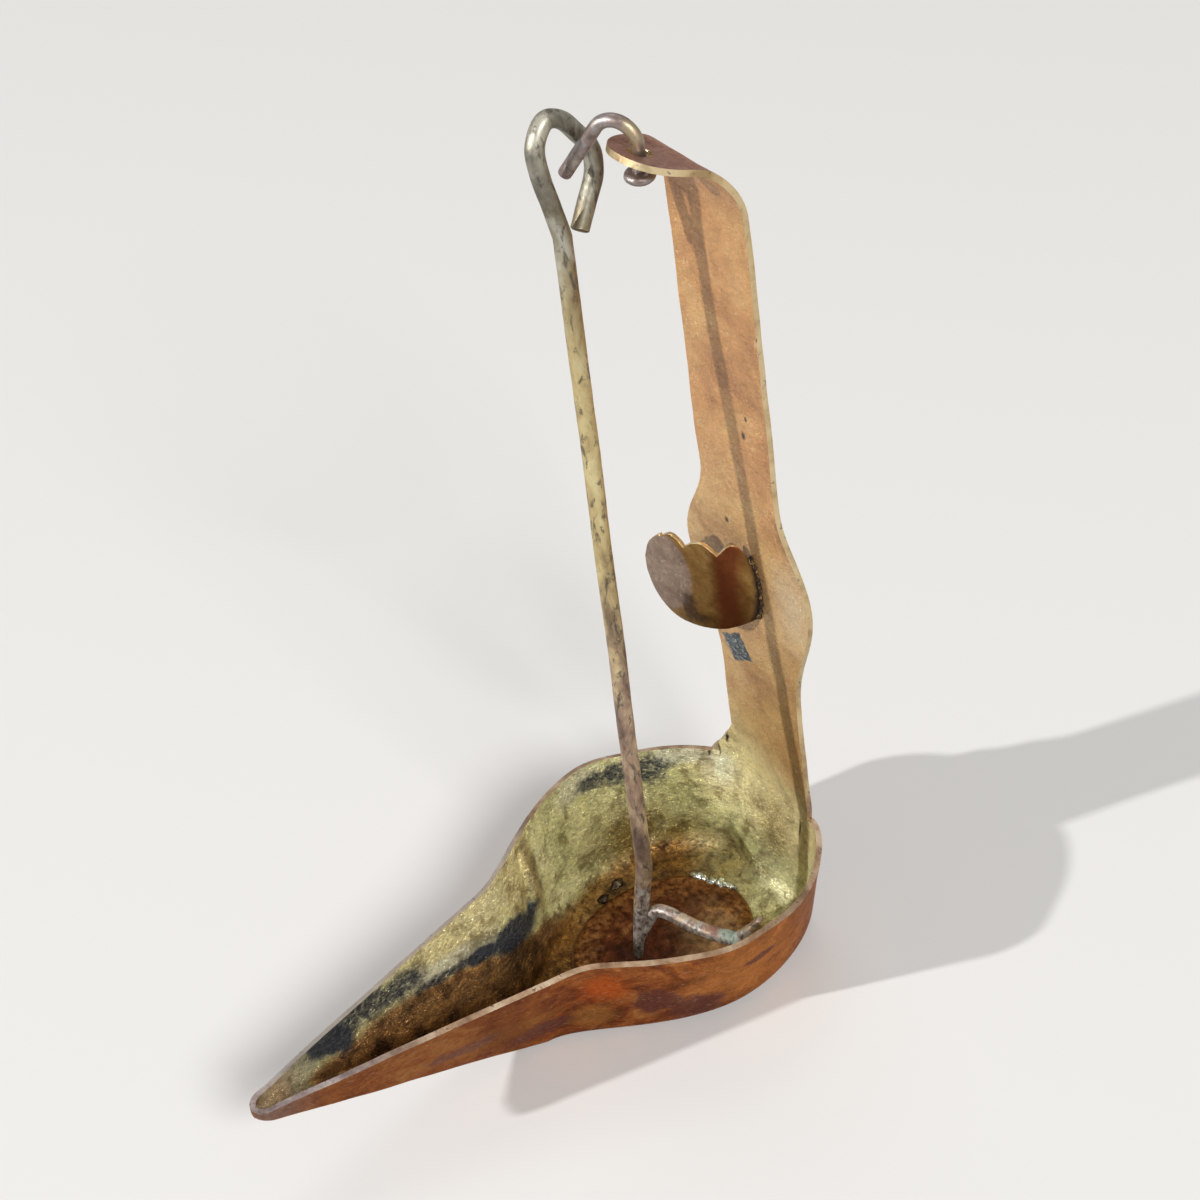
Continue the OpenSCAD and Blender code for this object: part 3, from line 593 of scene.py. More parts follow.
# %% Outlines of the pan
TIP_DEPTH = 1.7
TIP_KEEL_Z = WALL_H - TIP_DROP - TIP_DEPTH
BACK_PULL, CORNER_PULL, WIDE_PULL, NECK_PULL = 0.25, 0.6, 0.43, 0.22
PINCH_Y, PINCH_LEN, PINCH_IN, PINCH_UP = 4.5, 5.5, 0.5, 0.6
SAG_Y, SAG_LEN, SAG_OUT, SAG_DOWN = 27, 12, 0.75, 0.95
BACK_N, CORNER_N, NECK_N, SPOUT_N, TIP_N = 9, 21, 28, 30, 8
HALF_N = BACK_N + CORNER_N + NECK_N + SPOUT_N + TIP_N
FOOT_FAR, FOOT_NEAR = BACK_N + 6, BACK_N


def lerp(a, b, t):
    return a + (b - a) * t


def clamp(t):
    return min(1.0, max(0.0, t))


def smooth(t):
    t = clamp(t)
    return t * t * (3 - 2 * t)


def bezier(a, b, c, d, t):
    return a * (1 - t) ** 3 + b * (3 * t * (1 - t) ** 2) + c * (3 * t * t * (1 - t)) + d * t ** 3


def half_outline(back_half, back, wide_half, neck_half, tip_half, tip):
    """The near half of an outline of the pan, from the middle of the back to the tip."""
    corner, wide = Vector((back_half, back)), Vector((wide_half, WIDE_Y))
    neck, end = Vector((neck_half, NECK_Y)), Vector((tip_half, tip + TIP_LEN))
    points = [Vector((back_half * i / BACK_N, back)) for i in range(BACK_N + 1)]
    leave = Vector((lerp(back_half, wide_half, BACK_PULL), back))
    arrive = Vector((wide_half, lerp(WIDE_Y, back, CORNER_PULL)))
    points += [bezier(corner, leave, arrive, wide, i / CORNER_N) for i in range(1, CORNER_N + 1)]
    leave = Vector((wide_half, lerp(WIDE_Y, NECK_Y, WIDE_PULL)))
    arrive = neck - (end - neck).normalized() * NECK_PULL * (WIDE_Y - NECK_Y)
    points += [bezier(wide, leave, arrive, neck, i / NECK_N) for i in range(1, NECK_N + 1)]
    points += [neck.lerp(end, i / SPOUT_N) for i in range(1, SPOUT_N + 1)]
    quarter = [pi / 2 * i / TIP_N for i in range(1, TIP_N + 1)]
    return points + [Vector((tip_half * cos(a), end.y - TIP_LEN * sin(a))) for a in quarter]


def ring(half):
    return half + [Vector((-p.x, p.y)) for p in half[-2:0:-1]]


def rim_z(y):
    """Height of the rim: it drops towards the tip, and a little towards the back."""
    fore = clamp((SINK_Y - y) / (SINK_Y - TIP_Y)) ** 2
    aft = smooth((y - SINK_Y) / (BACK_Y - SINK_Y) * 2)
    return WALL_H - TIP_DROP * fore - BACK_DROP * aft


def keel_z(y):
    return TIP_KEEL_Z * clamp((NECK_Y - y) / (NECK_Y - TIP_Y))


def near_stray(p):
    """How far the near rim strays: it is pinched up at the neck and sags along the bowl."""
    if p.x <= 0:
        return Vector((0, 0, 0))
    pinch, sag = exp(-((p.y - PINCH_Y) / PINCH_LEN) ** 2), exp(-((p.y - SAG_Y) / SAG_LEN) ** 2)
    return Vector((SAG_OUT * sag - PINCH_IN * pinch, 0, PINCH_UP * pinch - SAG_DOWN * sag))


print("outline points", 2 * HALF_N)

# %% [markdown]
# The strap leans forward, swells at mid height and bends over into the arm. Its middle line is a
# straight, an arc and a straight, which is how a strip bends over a bar in a vice.

# %% Middle line of the strap and arm
STRAP_H, BEND_R, ARM_LEN, ARM_W = 145.0, 12.0, 17.2, 16.0
LEAN, ARM_TILT = radians(2.7), radians(20)
WAIST_W, SWELL_W, STRAP_W = 22.4, 35.0, 21.0
FOOT_H, WAIST_H, SWELL_H, SHOULDER_H = 8.0, 29.0, 56.0, 76.0
ARM_TURN = pi / 2 - ARM_TILT
strap_root = Vector((BACK_Y - SHEET / 2, WALL_H))
bend_reach = BEND_R * tan((ARM_TURN - LEAN) / 2)
strap_end = STRAP_H / cos(LEAN) - bend_reach
arm_start = strap_end + BEND_R * (ARM_TURN - LEAN)
arm_end = arm_start + ARM_LEN - bend_reach
round_start = arm_end - ARM_W / 2


def along(turn):
    return Vector((-sin(turn), cos(turn)))


def across(turn):
    return Vector((cos(turn), sin(turn)))


arm_corner = strap_root + along(LEAN) * STRAP_H / cos(LEAN)
bend_centre = arm_corner - along(LEAN) * bend_reach - across(LEAN) * BEND_R


def strap_line(s):
    """The place (y, z) on the strap's middle line, s millimetres above the rim, and its turn."""
    if s < 0:
        return strap_root + Vector((0, s)), LEAN
    if s < strap_end:
        return strap_root + along(LEAN) * s, LEAN
    if s < arm_start:
        turn = LEAN + (s - strap_end) / BEND_R
        return bend_centre + across(turn) * BEND_R, turn
    return arm_corner + along(ARM_TURN) * (bend_reach + s - arm_start), ARM_TURN


def strap_half(s):
    """Half the strap's width: it swells from its waist, narrows to the shoulder and ends round."""
    if s < WAIST_H:
        return WAIST_W / 2
    if s < SWELL_H:
        return lerp(WAIST_W, SWELL_W, smooth((s - WAIST_H) / (SWELL_H - WAIST_H))) / 2
    if s < SHOULDER_H:
        return lerp(SWELL_W, STRAP_W, smooth((s - SWELL_H) / (SHOULDER_H - SWELL_H))) / 2
    if s < round_start:
        return lerp(STRAP_W, ARM_W, smooth((s - strap_end) / (round_start - strap_end))) / 2
    return sqrt(max(0.0, (ARM_W / 2) ** 2 - (s - round_start) ** 2))


print("strap runs", round(arm_end, 1), "mm from rim to arm end")

# %% [markdown]
# Hand work is never true: walls wave, the far wall has a fold where bowl turns into spout, and small
# pleats show at both feet of the strap. These could be sculpted, but a formula that pushes each point a
# little along its normal gives the same result on every run. It fades out at the flat bottom.

# %% Unevenness of the hand-worked sheet
LONG_WAVE, SHORT_WAVE, FREE_LOW, FREE_FADE = (0.26, 15.0), (0.10, 5.5), 1.0, 6.0
FOLD_FOOT, FOLD_TOP = Vector((-15.4, 10.3, 13.0)), Vector((-20.2, 12.0, 26.0))
FOLD_WAY, FOLD_REACH = Vector((0.5, -0.85, 0.0)), 6.0
FOLD_LOW, FOLD_HIGH, FOLD_FADE = 9, 26.5, 6
RIDGE_H, RIDGE_AT, RIDGE_W = 0.9, 0.6, 1.0
GROOVE_H, GROOVE_AT, GROOVE_W = 0.6, -1.6, 1.3
PLEATS = (
    ((-15.4, 59, 26.2), (0.55, 3, 3.0), 0.55), ((-13.6, 59.4, 27.6), (0.6, 3, 3.2), -0.45),
    ((-12.4, 59.5, 30.2), (0.5, 3, 2.4), 0.5), ((9.6, 59, 22.0), (0.6, 3, 3.0), 0.5),
    ((11.2, 59, 23.5), (0.7, 3, 3.2), -0.4),
)


def bulge(p, centre, size):
    """A soft hump: 1 at its centre, with its size given along each axis."""
    return exp(-sum(((a - b) / c) ** 2 for a, b, c in zip(p, centre, size)))


def fold_line(p):
    """Signed distance across the fold on the far wall, and how strong it is there."""
    run = FOLD_TOP - FOLD_FOOT
    gap = p - FOLD_FOOT.lerp(FOLD_TOP, clamp((p - FOLD_FOOT).dot(run) / run.length_squared))
    ends = smooth((p.z - FOLD_LOW) / FOLD_FADE) * smooth((FOLD_HIGH - p.z) / FOLD_FADE)
    return gap.dot(FOLD_WAY), exp(-(gap.length / FOLD_REACH) ** 2) * ends


def unevenness(p):
    """How far a point of the sheet is pushed outwards, in millimetres."""
    waves = LONG_WAVE[0] * noise.noise(p / LONG_WAVE[1])
    waves += SHORT_WAVE[0] * noise.noise(p / SHORT_WAVE[1] + Vector((7, 3, 1)))
    push = smooth((p.z - FREE_LOW) / FREE_FADE) * waves
    if p.z < 40 and p.x < 0:
        side, strength = fold_line(p)
        ridge = RIDGE_H * exp(-((side - RIDGE_AT) / RIDGE_W) ** 2)
        groove = GROOVE_H * exp(-((side - GROOVE_AT) / GROOVE_W) ** 2)
        push += strength * (ridge - groove)
    for centre, size, depth in PLEATS:
        push += depth * bulge(p, centre, size)
    return push


print("push at far wall", round(unevenness(Vector((-18, 11, 20))), 3), "mm")

# %% [markdown]
# Now the surface itself. Rows of points run from the floor's flat up the wall, and the same columns go on
# up the strap, so the foot of the strap needs no weld. The floor is closed by a grid between the two
# sides. A mesh from plain lists is the shortest way to keep that order.

# %% Surface of the pan, strap and arm
ROUND_N, WALL_N, FOOT_ROWS, STRAP_ROWS, BEND_ROWS, ARC_STEP = 7, 14, 12, 72, 14, 6
FLOOR_W, BACK_RAKE, FLOOR_BACK_W, KEEL_W, FLOOR_R, KEEL_R = 45.0, 2.6, 24.0, 11.6, 4.2, 1.8
SPOUT_W, TIP_W, FOOT_W = 28.4, 6.0, 23.2
MID = SHEET / 2


def wall_rows():
    """Rings of points from the flat of the floor to the rim, at mid sheet."""
    back, tip, tip_half = BACK_Y - MID, TIP_Y + MID, TIP_W / 2 - MID
    floor_back, floor_half, keel_half = back - BACK_RAKE, FLOOR_W / 2 - MID, KEEL_W / 2 - MID
    rim = ring(half_outline(FOOT_W / 2, back, BOWL_W / 2 - MID, SPOUT_W / 2 - MID, tip_half, tip))
    base = ring(half_outline(FLOOR_BACK_W / 2, floor_back, floor_half, keel_half, tip_half, tip))
    flat = ring(half_outline((FLOOR_BACK_W - FLOOR_R) / 2, floor_back - FLOOR_R, floor_half - FLOOR_R,
                             keel_half - KEEL_R, tip_half * 0.8, tip))
    rims = [Vector((*p, rim_z(p.y))) + near_stray(p) for p in rim]
    bases, flats = ([Vector((*p, keel_z(p.y) + MID)) for p in outline] for outline in (base, flat))
    starts = []
    for r, b, f in zip(rims, bases, flats):
        starts.append(b.lerp(r, min(0.5, (b - f).length / max(0.01, (r - b).length))))
    rows = []
    for k in range(ROUND_N + 1):
        t = k / ROUND_N
        rows.append([f.lerp(b, t).lerp(b.lerp(s, t), t) for f, b, s in zip(flats, bases, starts)])
    for k in range(1, WALL_N + 1):
        rows.append([s.lerp(r, k / WALL_N) for s, r in zip(starts, rims)])
    return rows


def strap_rows(rim):
    """Rows of points up the strap. Near the foot they follow the rim and fade into the strap's own width."""
    heights = [lerp(-BACK_DROP, FOOT_H, i / FOOT_ROWS) for i in range(1, FOOT_ROWS + 1)]
    heights += [lerp(FOOT_H, strap_end, i / STRAP_ROWS) for i in range(1, STRAP_ROWS + 1)]
    heights += [lerp(strap_end, arm_start, i / BEND_ROWS) for i in range(1, BEND_ROWS + 1)]
    heights += [round_start + ARM_W / 2 * sin(radians(a)) for a in range(ARC_STEP, 88, ARC_STEP)]
    rows = []
    for s in heights:
        (y, z), _ = strap_line(s)
        fade = clamp((FOOT_H - s) / (FOOT_H + BACK_DROP)) ** 1.1
        row = []
        for i in range(-FOOT_FAR, FOOT_NEAR + 1):
            foot = rim[i % len(rim)]
            x = strap_half(s) * i / (FOOT_FAR if i < 0 else FOOT_NEAR)
            row.append(Vector((lerp(x, foot.x, fade), y + (foot.y - BACK_Y + MID) * fade, z)))
        rows.append(row)
    return rows


def sheet_surface():
    """Points and faces of the sheet's middle surface, with faces looking outwards."""
    points, faces = [], []

    def add(row):
        points.extend(row)
        return list(range(len(points) - len(row), len(points)))

    walls = wall_rows()
    rings = [add(row) for row in walls]
    count = len(rings[0])
    for low, high in zip(rings, rings[1:]):
        for i in range(count):
            j = (i + 1) % count
            faces.append((low[i], high[i], high[j], low[j]))
    columns = range(-BACK_N, BACK_N + 1)
    floor = [[rings[0][i % count] for i in columns]]
    for i in range(BACK_N + 1, HALF_N):
        near, far = points[rings[0][i]], points[rings[0][count - i]]
        inside = add([far.lerp(near, k / (2 * BACK_N)) for k in range(1, 2 * BACK_N)])
        floor.append([rings[0][count - i], *inside, rings[0][i]])
    for a, b in zip(floor, floor[1:]):
        faces += [(a[k], a[k + 1], b[k + 1], b[k]) for k in range(2 * BACK_N)]
    tip = rings[0][HALF_N]
    faces += [(floor[-1][k], floor[-1][k + 1], tip) for k in range(2 * BACK_N)]
    previous = [rings[-1][i % count] for i in range(-FOOT_FAR, FOOT_NEAR + 1)]
    for row in strap_rows(walls[-1]):
        row = add(row)
        faces += [(previous[k], row[k], row[k + 1], previous[k + 1]) for k in range(FOOT_FAR + FOOT_NEAR)]
        previous = row
    return points, faces


def mesh_object(name, points, faces):
    """A smooth mesh object from points in millimetres."""
    mesh = bpy.data.meshes.new(name)
    mesh.from_pydata([p * MM for p in points], [], faces)
    mesh.validate()
    mesh.shade_smooth()
    piece = bpy.data.objects.new(name, mesh)
    scene.collection.objects.link(piece)
    return piece


def push_along_normals(piece, push):
    """Moves each point along its normal by a formula of its place, in millimetres."""
    normals = [v.normal.copy() for v in piece.data.vertices]
    for vertex, normal in zip(piece.data.vertices, normals):
        vertex.co += normal * push(vertex.co / MM) * MM


pan_piece = mesh_object("pan_sheet", *sheet_surface())
push_along_normals(pan_piece, unevenness)
print("surface", len(pan_piece.data.vertices), "points", len(pan_piece.data.polygons), "faces")

# %% [markdown]
# The surface becomes metal in three steps that follow the workshop: Solidify gives it the sheet's
# thickness, a drill-shaped cutter makes the arm's hole, and a narrow bevel takes the sharpness off the
# cut edges. Solidify can give the two sides and the edge their own materials, so no faces are picked
# by hand.

# %% Thickness, hole and edges of the sheet
SHANK_INSET, HOOK_D, HOLE_PLAY, HOLE_SHIFT = 4.1, 2.4, 1.8, 0.2
DRILL_LEN, DRILL_SIDES, PAN_EDGE = 6, 72, 0.24
shank_y = arm_corner.x - ARM_LEN * cos(ARM_TILT) + SHANK_INSET
shank_arm_z = arm_corner.y + (arm_corner.x - shank_y) * tan(ARM_TILT)


def freeze(piece):
    """Turns the modified shape into the piece's own mesh."""
    bpy.context.view_layer.update()
    shaped = piece.evaluated_get(bpy.context.evaluated_depsgraph_get())
    mesh = bpy.data.meshes.new_from_object(shaped)
    piece.modifiers.clear()
    piece.data = mesh
    return piece


def thicken(piece, thickness_mm, finishes):
    """Sheet thickness to both sides of a surface. The finishes are for its front, its back and its edge."""
    for finish in finishes:
        piece.data.materials.append(finish)
    solid = piece.modifiers.new("thickness", "SOLIDIFY")
    solid.thickness, solid.offset = thickness_mm * MM, 0.0
    solid.use_even_offset, solid.use_rim = True, True
    solid.material_offset, solid.material_offset_rim = 1, 2
    return freeze(piece)


def drill(piece, place_mm, direction, diameter_mm, length_mm):
    """Cuts a round hole. Its wall gets the finish of the edges."""
    work, radius = bmesh.new(), diameter_mm / 2 * MM
    bmesh.ops.create_cone(work, cap_ends=True, segments=DRILL_SIDES, radius1=radius, radius2=radius,
                          depth=length_mm * MM)
    turn = Vector(direction).to_track_quat("Z", "Y").to_matrix().to_4x4()
    bmesh.ops.transform(work, verts=work.verts, matrix=Matrix.Translation(Vector(place_mm) * MM) @ turn)
    mesh = bpy.data.meshes.new("drill")
    work.to_mesh(mesh)
    work.free()
    mesh.materials.append(edge_finish)
    cutter = bpy.data.objects.new("drill", mesh)
    scene.collection.objects.link(cutter)
    cut = piece.modifiers.new("hole", "BOOLEAN")
    cut.operation, cut.solver, cut.object = "DIFFERENCE", "EXACT", cutter
    cut.material_mode = "TRANSFER"
    freeze(piece)
    bpy.data.objects.remove(cutter)


def ease_edges(piece, width_mm, angle=40):
    """Takes the sharpness off the cut edges and evens the shading of the flat sides."""
    bevel = piece.modifiers.new("edges", "BEVEL")
    bevel.width, bevel.segments, bevel.limit_method = width_mm * MM, 2, "ANGLE"
    bevel.angle_limit, bevel.harden_normals, bevel.material = radians(angle), False, 2
    freeze(piece)
    piece.data.shade_smooth()
    weighted = piece.modifiers.new("normals", "WEIGHTED_NORMAL")
    weighted.keep_sharp = False
    return freeze(piece)


thicken(pan_piece, SHEET, (outer_finish, inner_finish, edge_finish))
hole_place = (0, shank_y + HOLE_SHIFT, shank_arm_z - HOLE_SHIFT * tan(ARM_TILT))
drill(pan_piece, hole_place, (0, sin(ARM_TILT), cos(ARM_TILT)), HOOK_D + HOLE_PLAY, DRILL_LEN)
ease_edges(pan_piece, PAN_EDGE)
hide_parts("pan")
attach(pan_piece, "lamp_body")
print("pan sheet", len(pan_piece.data.polygons), "faces", [m.name for m in pan_piece.data.materials])

# %% [markdown]
# An oval plate was soldered on the floor of the bowl to mend or stiffen it. Oil has dried on it in dark
# red-brown crusts. A flat disc would do from far away, but its edge shows, so it is a thin plate with an
# uneven outline and a lumpy top.

# %% Floor plate
PLATE_T, PLATE_LEN, PLATE_W, PLATE_BACK = 0.9, 40.0, 32.0, 10.6
PLATE_RINGS, PLATE_SPOKES, PLATE_WAVE, PLATE_LUMP, TOP_SHARE = 18, 96, 0.012, 0.09, 0.8
PLATE_EDGE = [(1.0, 0.0), (0.992, 0.3), (0.975, 0.62), (0.95, 0.88), (0.92, 1.0)]
plate_centre = Vector((0, BACK_Y - PLATE_BACK - PLATE_LEN / 2, SHEET))


def crusted_oil():
    f = Finish("crusted_oil")
    patches, crust = f.grain(0.11, 6, 0.62, 0.8), f.grain(0.55, 8, 0.7, 0.25)
    f.colour = f.ramp(patches, (0.34, (0.012, 0.0035, 0.002)), (0.47, (0.042, 0.010, 0.004)),
                      (0.60, (0.092, 0.026, 0.009)), (0.72, (0.20, 0.09, 0.030)))
    bright = f.blot((8, 42, 2), (9, 8, 4), rag=0.8, border=0.7)
    f.stain(bright, (0.30, 0.185, 0.085), 0.75)
    inside = f.blot((1, 29.5, 2), (12.5, 16.5, 6), border=0.3, rag=0.55, rag_grain=0.18)
    fringe = f.ramp(crust, (0.36, (0.065, 0.022, 0.007)), (0.5, (0.16, 0.062, 0.018)),
                    (0.66, (0.28, 0.135, 0.042)))
    f.colour = f.mix(inside, fringe, f.colour)
    f.stain(f.span(f.axis("Z"), 1.72, 1.42), (0.34, 0.20, 0.095))
    lit = f.ramp(crust, (0.36, (0.45, 0.42, 0.4)), (0.55, (1, 1, 1)), (0.7, (1.3, 1.25, 1.15)))
    f.stain(0.85, lit, kind="MULTIPLY")
    rough, metal = f.span(crust, 0.38, 0.62, 0.55, 0.27), f.span(patches, 0.4, 0.7, 0.55, 0.75)
    return f.close(rough, metal, f.bump(crust, 0.25, 0.8), edge=(0.55, 0.28, 0.15))


def plate_outline(angle, share):
    """A place on the plate at an angle and a share of its size. The outline waves a little."""
    wave = 1 - PLATE_WAVE + PLATE_WAVE * noise.noise(Vector((cos(angle) * 2.4, sin(angle) * 2.4, 4.0)))
    return Vector((PLATE_W / 2 * cos(angle), PLATE_LEN / 2 * sin(angle), 0)) * share * wave


def plate_points():
    """A plate as rings of points: the rounded edge from below, then the lumpy top to its middle."""
    rows = []
    for share, height in PLATE_EDGE + [(0.9 * (1 - k / PLATE_RINGS), 1.0) for k in range(PLATE_RINGS)]:
        row, rise = [], Vector((0, 0, height * PLATE_T * TOP_SHARE))
        for i in range(PLATE_SPOKES):
            p = plate_centre + plate_outline(2 * pi * i / PLATE_SPOKES, share) + rise
            if height == 1.0:
                p.z += PLATE_LUMP * noise.noise(p / 2.2) + PLATE_LUMP * noise.noise(p / 6.0)
            row.append(p)
        rows.append(row)
    return rows


def skin_of_rings(rows):
    """Faces between closed rings of points, with the first and last ring shut by a fan to their middle."""
    count = len(rows[0])
    points = [p for row in rows for p in row]
    faces = []
    for low in range(0, len(points) - count, count):
        high = low + count
        faces += [(low + i, low + (i + 1) % count, high + (i + 1) % count, high + i) for i in range(count)]
    for row, start, turned in ((rows[0], 0, True), (rows[-1], len(points) - count, False)):
        middle = len(points)
        points.append(sum(row, Vector((0, 0, 0))) / count)
        for i in range(count):
            face = (start + i, start + (i + 1) % count, middle)
            faces.append(face[::-1] if turned else face)
    return points, faces


plate_piece = mesh_object("floor_oval", *skin_of_rings(plate_points()))
plate_piece.data.materials.append(crusted_oil())
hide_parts("floor_plate")
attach(plate_piece, "lamp_body")
print("plate", len(plate_piece.data.polygons), "faces")

# %% [markdown]
# Bright beads of solder hold the plate at the back, and two crusted ones sit at its far edge. Beads that
# wet two surfaces are low and uneven, so each is a squashed ball with noise, and all are one piece.

# %% Solder beads
BEADS, BEAD_STRAY, BEAD_R = 13, 0.9, 0.75
SEAM_START, SEAM_END = Vector((-9.4, 46.0, 1.75)), Vector((-1.2, 50.1, 1.75))
CRUSTED_BEADS = [((-18.2, 32.6, 1.4), (1.1, 1.5, 0.7), 0.5), ((-16.8, 28.0, 1.4), (0.9, 1.3, 0.7), 0.2)]


def solder_places():
    """An irregular run of low beads along the plate's back edge, and two crusted ones at its far side."""
    places = []
    for i in range(BEADS):
        place = SEAM_START.lerp(SEAM_END, i / (BEADS - 1))
        aside, ahead = (noise.noise(Vector((i * 0.9, row, 0))) for row in (2, 7))
        size = BEAD_R + BEAD_R * noise.noise(Vector((i * 1.37, 0, 4)))
        stray = Vector((aside, ahead, 0)) * BEAD_STRAY
        places.append((place + stray, (size * 1.25, size * 0.85, 0.3 + 0.35 * size), i * 0.7))
    return places + CRUSTED_BEADS


def bright_solder():
    f = Finish("bright_solder")
    dull, fine = f.grain(0.5, 5, 0.6), f.grain(1.6, 5, 0.6)
    f.colour = f.ramp(dull, (0.35, (0.22, 0.22, 0.19)), (0.52, (0.55, 0.57, 0.52)), (0.7, (0.74, 0.76, 0.72)))
    crusted = f.blots(*[(place, (2.4, 3, 3)) for place, _, _ in CRUSTED_BEADS], rag=0.2)
    burnt = f.ramp(dull, (0.42, (0.02, 0.012, 0.01)), (0.55, (0.10, 0.07, 0.05)), (0.68, (0.5, 0.45, 0.38)))
    f.stain(crusted, burnt)
    return f.close(f.span(fine, 0.3, 0.7, 0.40, 0.18), 0.9, f.bump(fine, 0.12, 0.7))


def lumps(name, places, roughness=0.22):
    """Uneven balls, each with its centre, its three radii and its turn, joined in one mesh."""
    work = bmesh.new()
    for number, (centre, size, turn) in enumerate(places):
        ball = bmesh.ops.create_icosphere(work, subdivisions=3, radius=1.0)["verts"]
        for vertex in ball:
            grow = 1 + roughness * noise.noise(vertex.co * 1.7 + Vector((number * 3.1, 0, 0)))
            p = Vector((vertex.co.x * size[0], vertex.co.y * size[1], vertex.co.z * size[2])) * grow
            p.rotate(Quaternion((0, 0, 1), turn))
            vertex.co = (p + Vector(centre)) * MM
    mesh = bpy.data.meshes.new(name)
    work.to_mesh(mesh)
    work.free()
    mesh.shade_smooth()
    piece = bpy.data.objects.new(name, mesh)
    scene.collection.objects.link(piece)
    return piece


solder_piece = lumps("solder_beads", solder_places(), 0.45)
solder_piece.data.materials.append(bright_solder())
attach(solder_piece, "lamp_body")
print("solder", len(solder_piece.data.polygons), "faces")

# %% [markdown]
# The notched leaf on the strap carried the upper oil pan of such a lamp: its hook could be moved from notch
# to notch. It is a small sheet, so it is made like the pan, as a surface first. Its plan is one curve, and
# its upper edge is scalloped by a sine, because a row of notches of one pitch is just that.

# %% Leaf bracket
LEAF_T, LEAF_OUT, LEAF_REACH, LEAF_X, LEAF_LOW, LEAF_H = 0.9, 9.5, 20.4, 2.5, 42.7, 21.2
NOTCH_H, NOTCH_AT, NOTCH_PITCH, NOTCH_END = 2.2, 0.281, 0.293, 0.8
LEAF_COLUMNS, LEAF_ROWS, LEAF_STEPS, LEAF_EDGE = 90, 26, 400, 0.18
LOBE_AT, ROOT_PART, ROOT_CUT = 0.62, 0.08, 3.6
BOW_PART, BOW_OUT, BOW_IN, BOW_H, BOW_HALF = 0.32, 1.0, 2.6, 53.4, 9.5
LEAF_RAG, ROOT_RAG, LEAF_DENT, CUP, CUP_H, CUP_HALF = 0.12, 0.35, 0.2, 0.5, 53, 11


def leaf_plan(t):
    """Level place on the leaf: across the strap, and out from its face."""
    root, end = Vector((LEAF_X, 0)), Vector((LEAF_X - LEAF_REACH, LEAF_OUT))
    leave, arrive = Vector((LEAF_X, LEAF_OUT * 0.42)), Vector((LEAF_X - LEAF_REACH * 0.63, LEAF_OUT * 1.03))
    return bezier(root, leave, arrive, end, t)


def lengths_along(line):
    """The length of a line from its start to each of its points."""
    lengths = [0.0]
    for a, b in zip(line, line[1:]):
        lengths.append(lengths[-1] + (b - a).length)
    return lengths


def even_leaf_stations(count):
    """Curve parameters at even steps along the leaf's length."""
    lengths = lengths_along([leaf_plan(i / LEAF_STEPS) for i in range(LEAF_STEPS + 1)])
    stations, k = [], 0
    for i in range(count + 1):
        goal = lengths[-1] * i / count
        while k < LEAF_STEPS and lengths[k] < goal:
            k += 1
        stations.append(k / LEAF_STEPS)
    return stations


def leaf_edges(q):
    """Heights of the leaf's lower and upper edge at a part of its length, along the strap."""
    lobe = 1.0 if q < LOBE_AT else sqrt(max(0.03, 1 - ((q - LOBE_AT) / (1 - LOBE_AT)) ** 2))
    scallop = NOTCH_H * (abs(sin(pi * (q - NOTCH_AT) / NOTCH_PITCH)) ** 0.9 - 1) * lobe
    if q > NOTCH_END:
        scallop = 0.0
    middle = LEAF_LOW + LEAF_H / 2
    low = middle - LEAF_H / 2 * lobe + ROOT_CUT * clamp(1 - q / LOBE_AT) ** 2
    return low, middle + LEAF_H / 2 * lobe + scallop - ROOT_CUT * clamp(1 - q / ROOT_PART) ** 2


def root_bow(h):
    """How far the leaf's root bows out across the strap at a height: most at its middle."""
    return BOW_OUT - BOW_IN * ((h - BOW_H) / BOW_HALF) ** 2


def leaf_surface():
    """Points and faces of the leaf's middle surface, with its ragged edges, bowed root and cupped end."""
    lean = Matrix.Rotation(LEAN, 3, "X")
    points, faces = [], []
    for i, t in enumerate(even_leaf_stations(LEAF_COLUMNS)):
        q = i / LEAF_COLUMNS
        (x, out), (low, high) = leaf_plan(t), leaf_edges(q)
        ragged = LEAF_RAG * noise.noise(Vector((q * 22, 0, 5)))
        for k in range(LEAF_ROWS + 1):
            h = lerp(low + ragged * 0.6, high + ragged, k / LEAF_ROWS)
            shift = root_bow(h) * smooth(1 - q / BOW_PART)
            shift += ROOT_RAG * noise.noise(Vector((h * 0.8, 3, 1))) * clamp(1 - q / ROOT_PART)
            cup = -CUP * q * ((h - CUP_H) / CUP_HALF) ** 2
            cup += LEAF_DENT * q * noise.noise(Vector((x, h, 2)) / 6)
            points.append(Vector((0, BACK_Y - SHEET, WALL_H)) + lean @ Vector((x + shift, -out - cup, h)))
    row = LEAF_ROWS + 1
    for i in range(LEAF_COLUMNS):
        for k in range(LEAF_ROWS):
            faces.append((i * row + k, (i + 1) * row + k, (i + 1) * row + k + 1, i * row + k + 1))
    return points, faces


print("leaf edges at its middle", [round(v, 1) for v in leaf_edges(0.5)])

# %% [markdown]
# On the leaf, the free end is worn to grey brown with gold left along its border. The rest is golden
# brown with a painted dark red reflection down its bend, and black crust at the root.

# %% Finish of the leaf


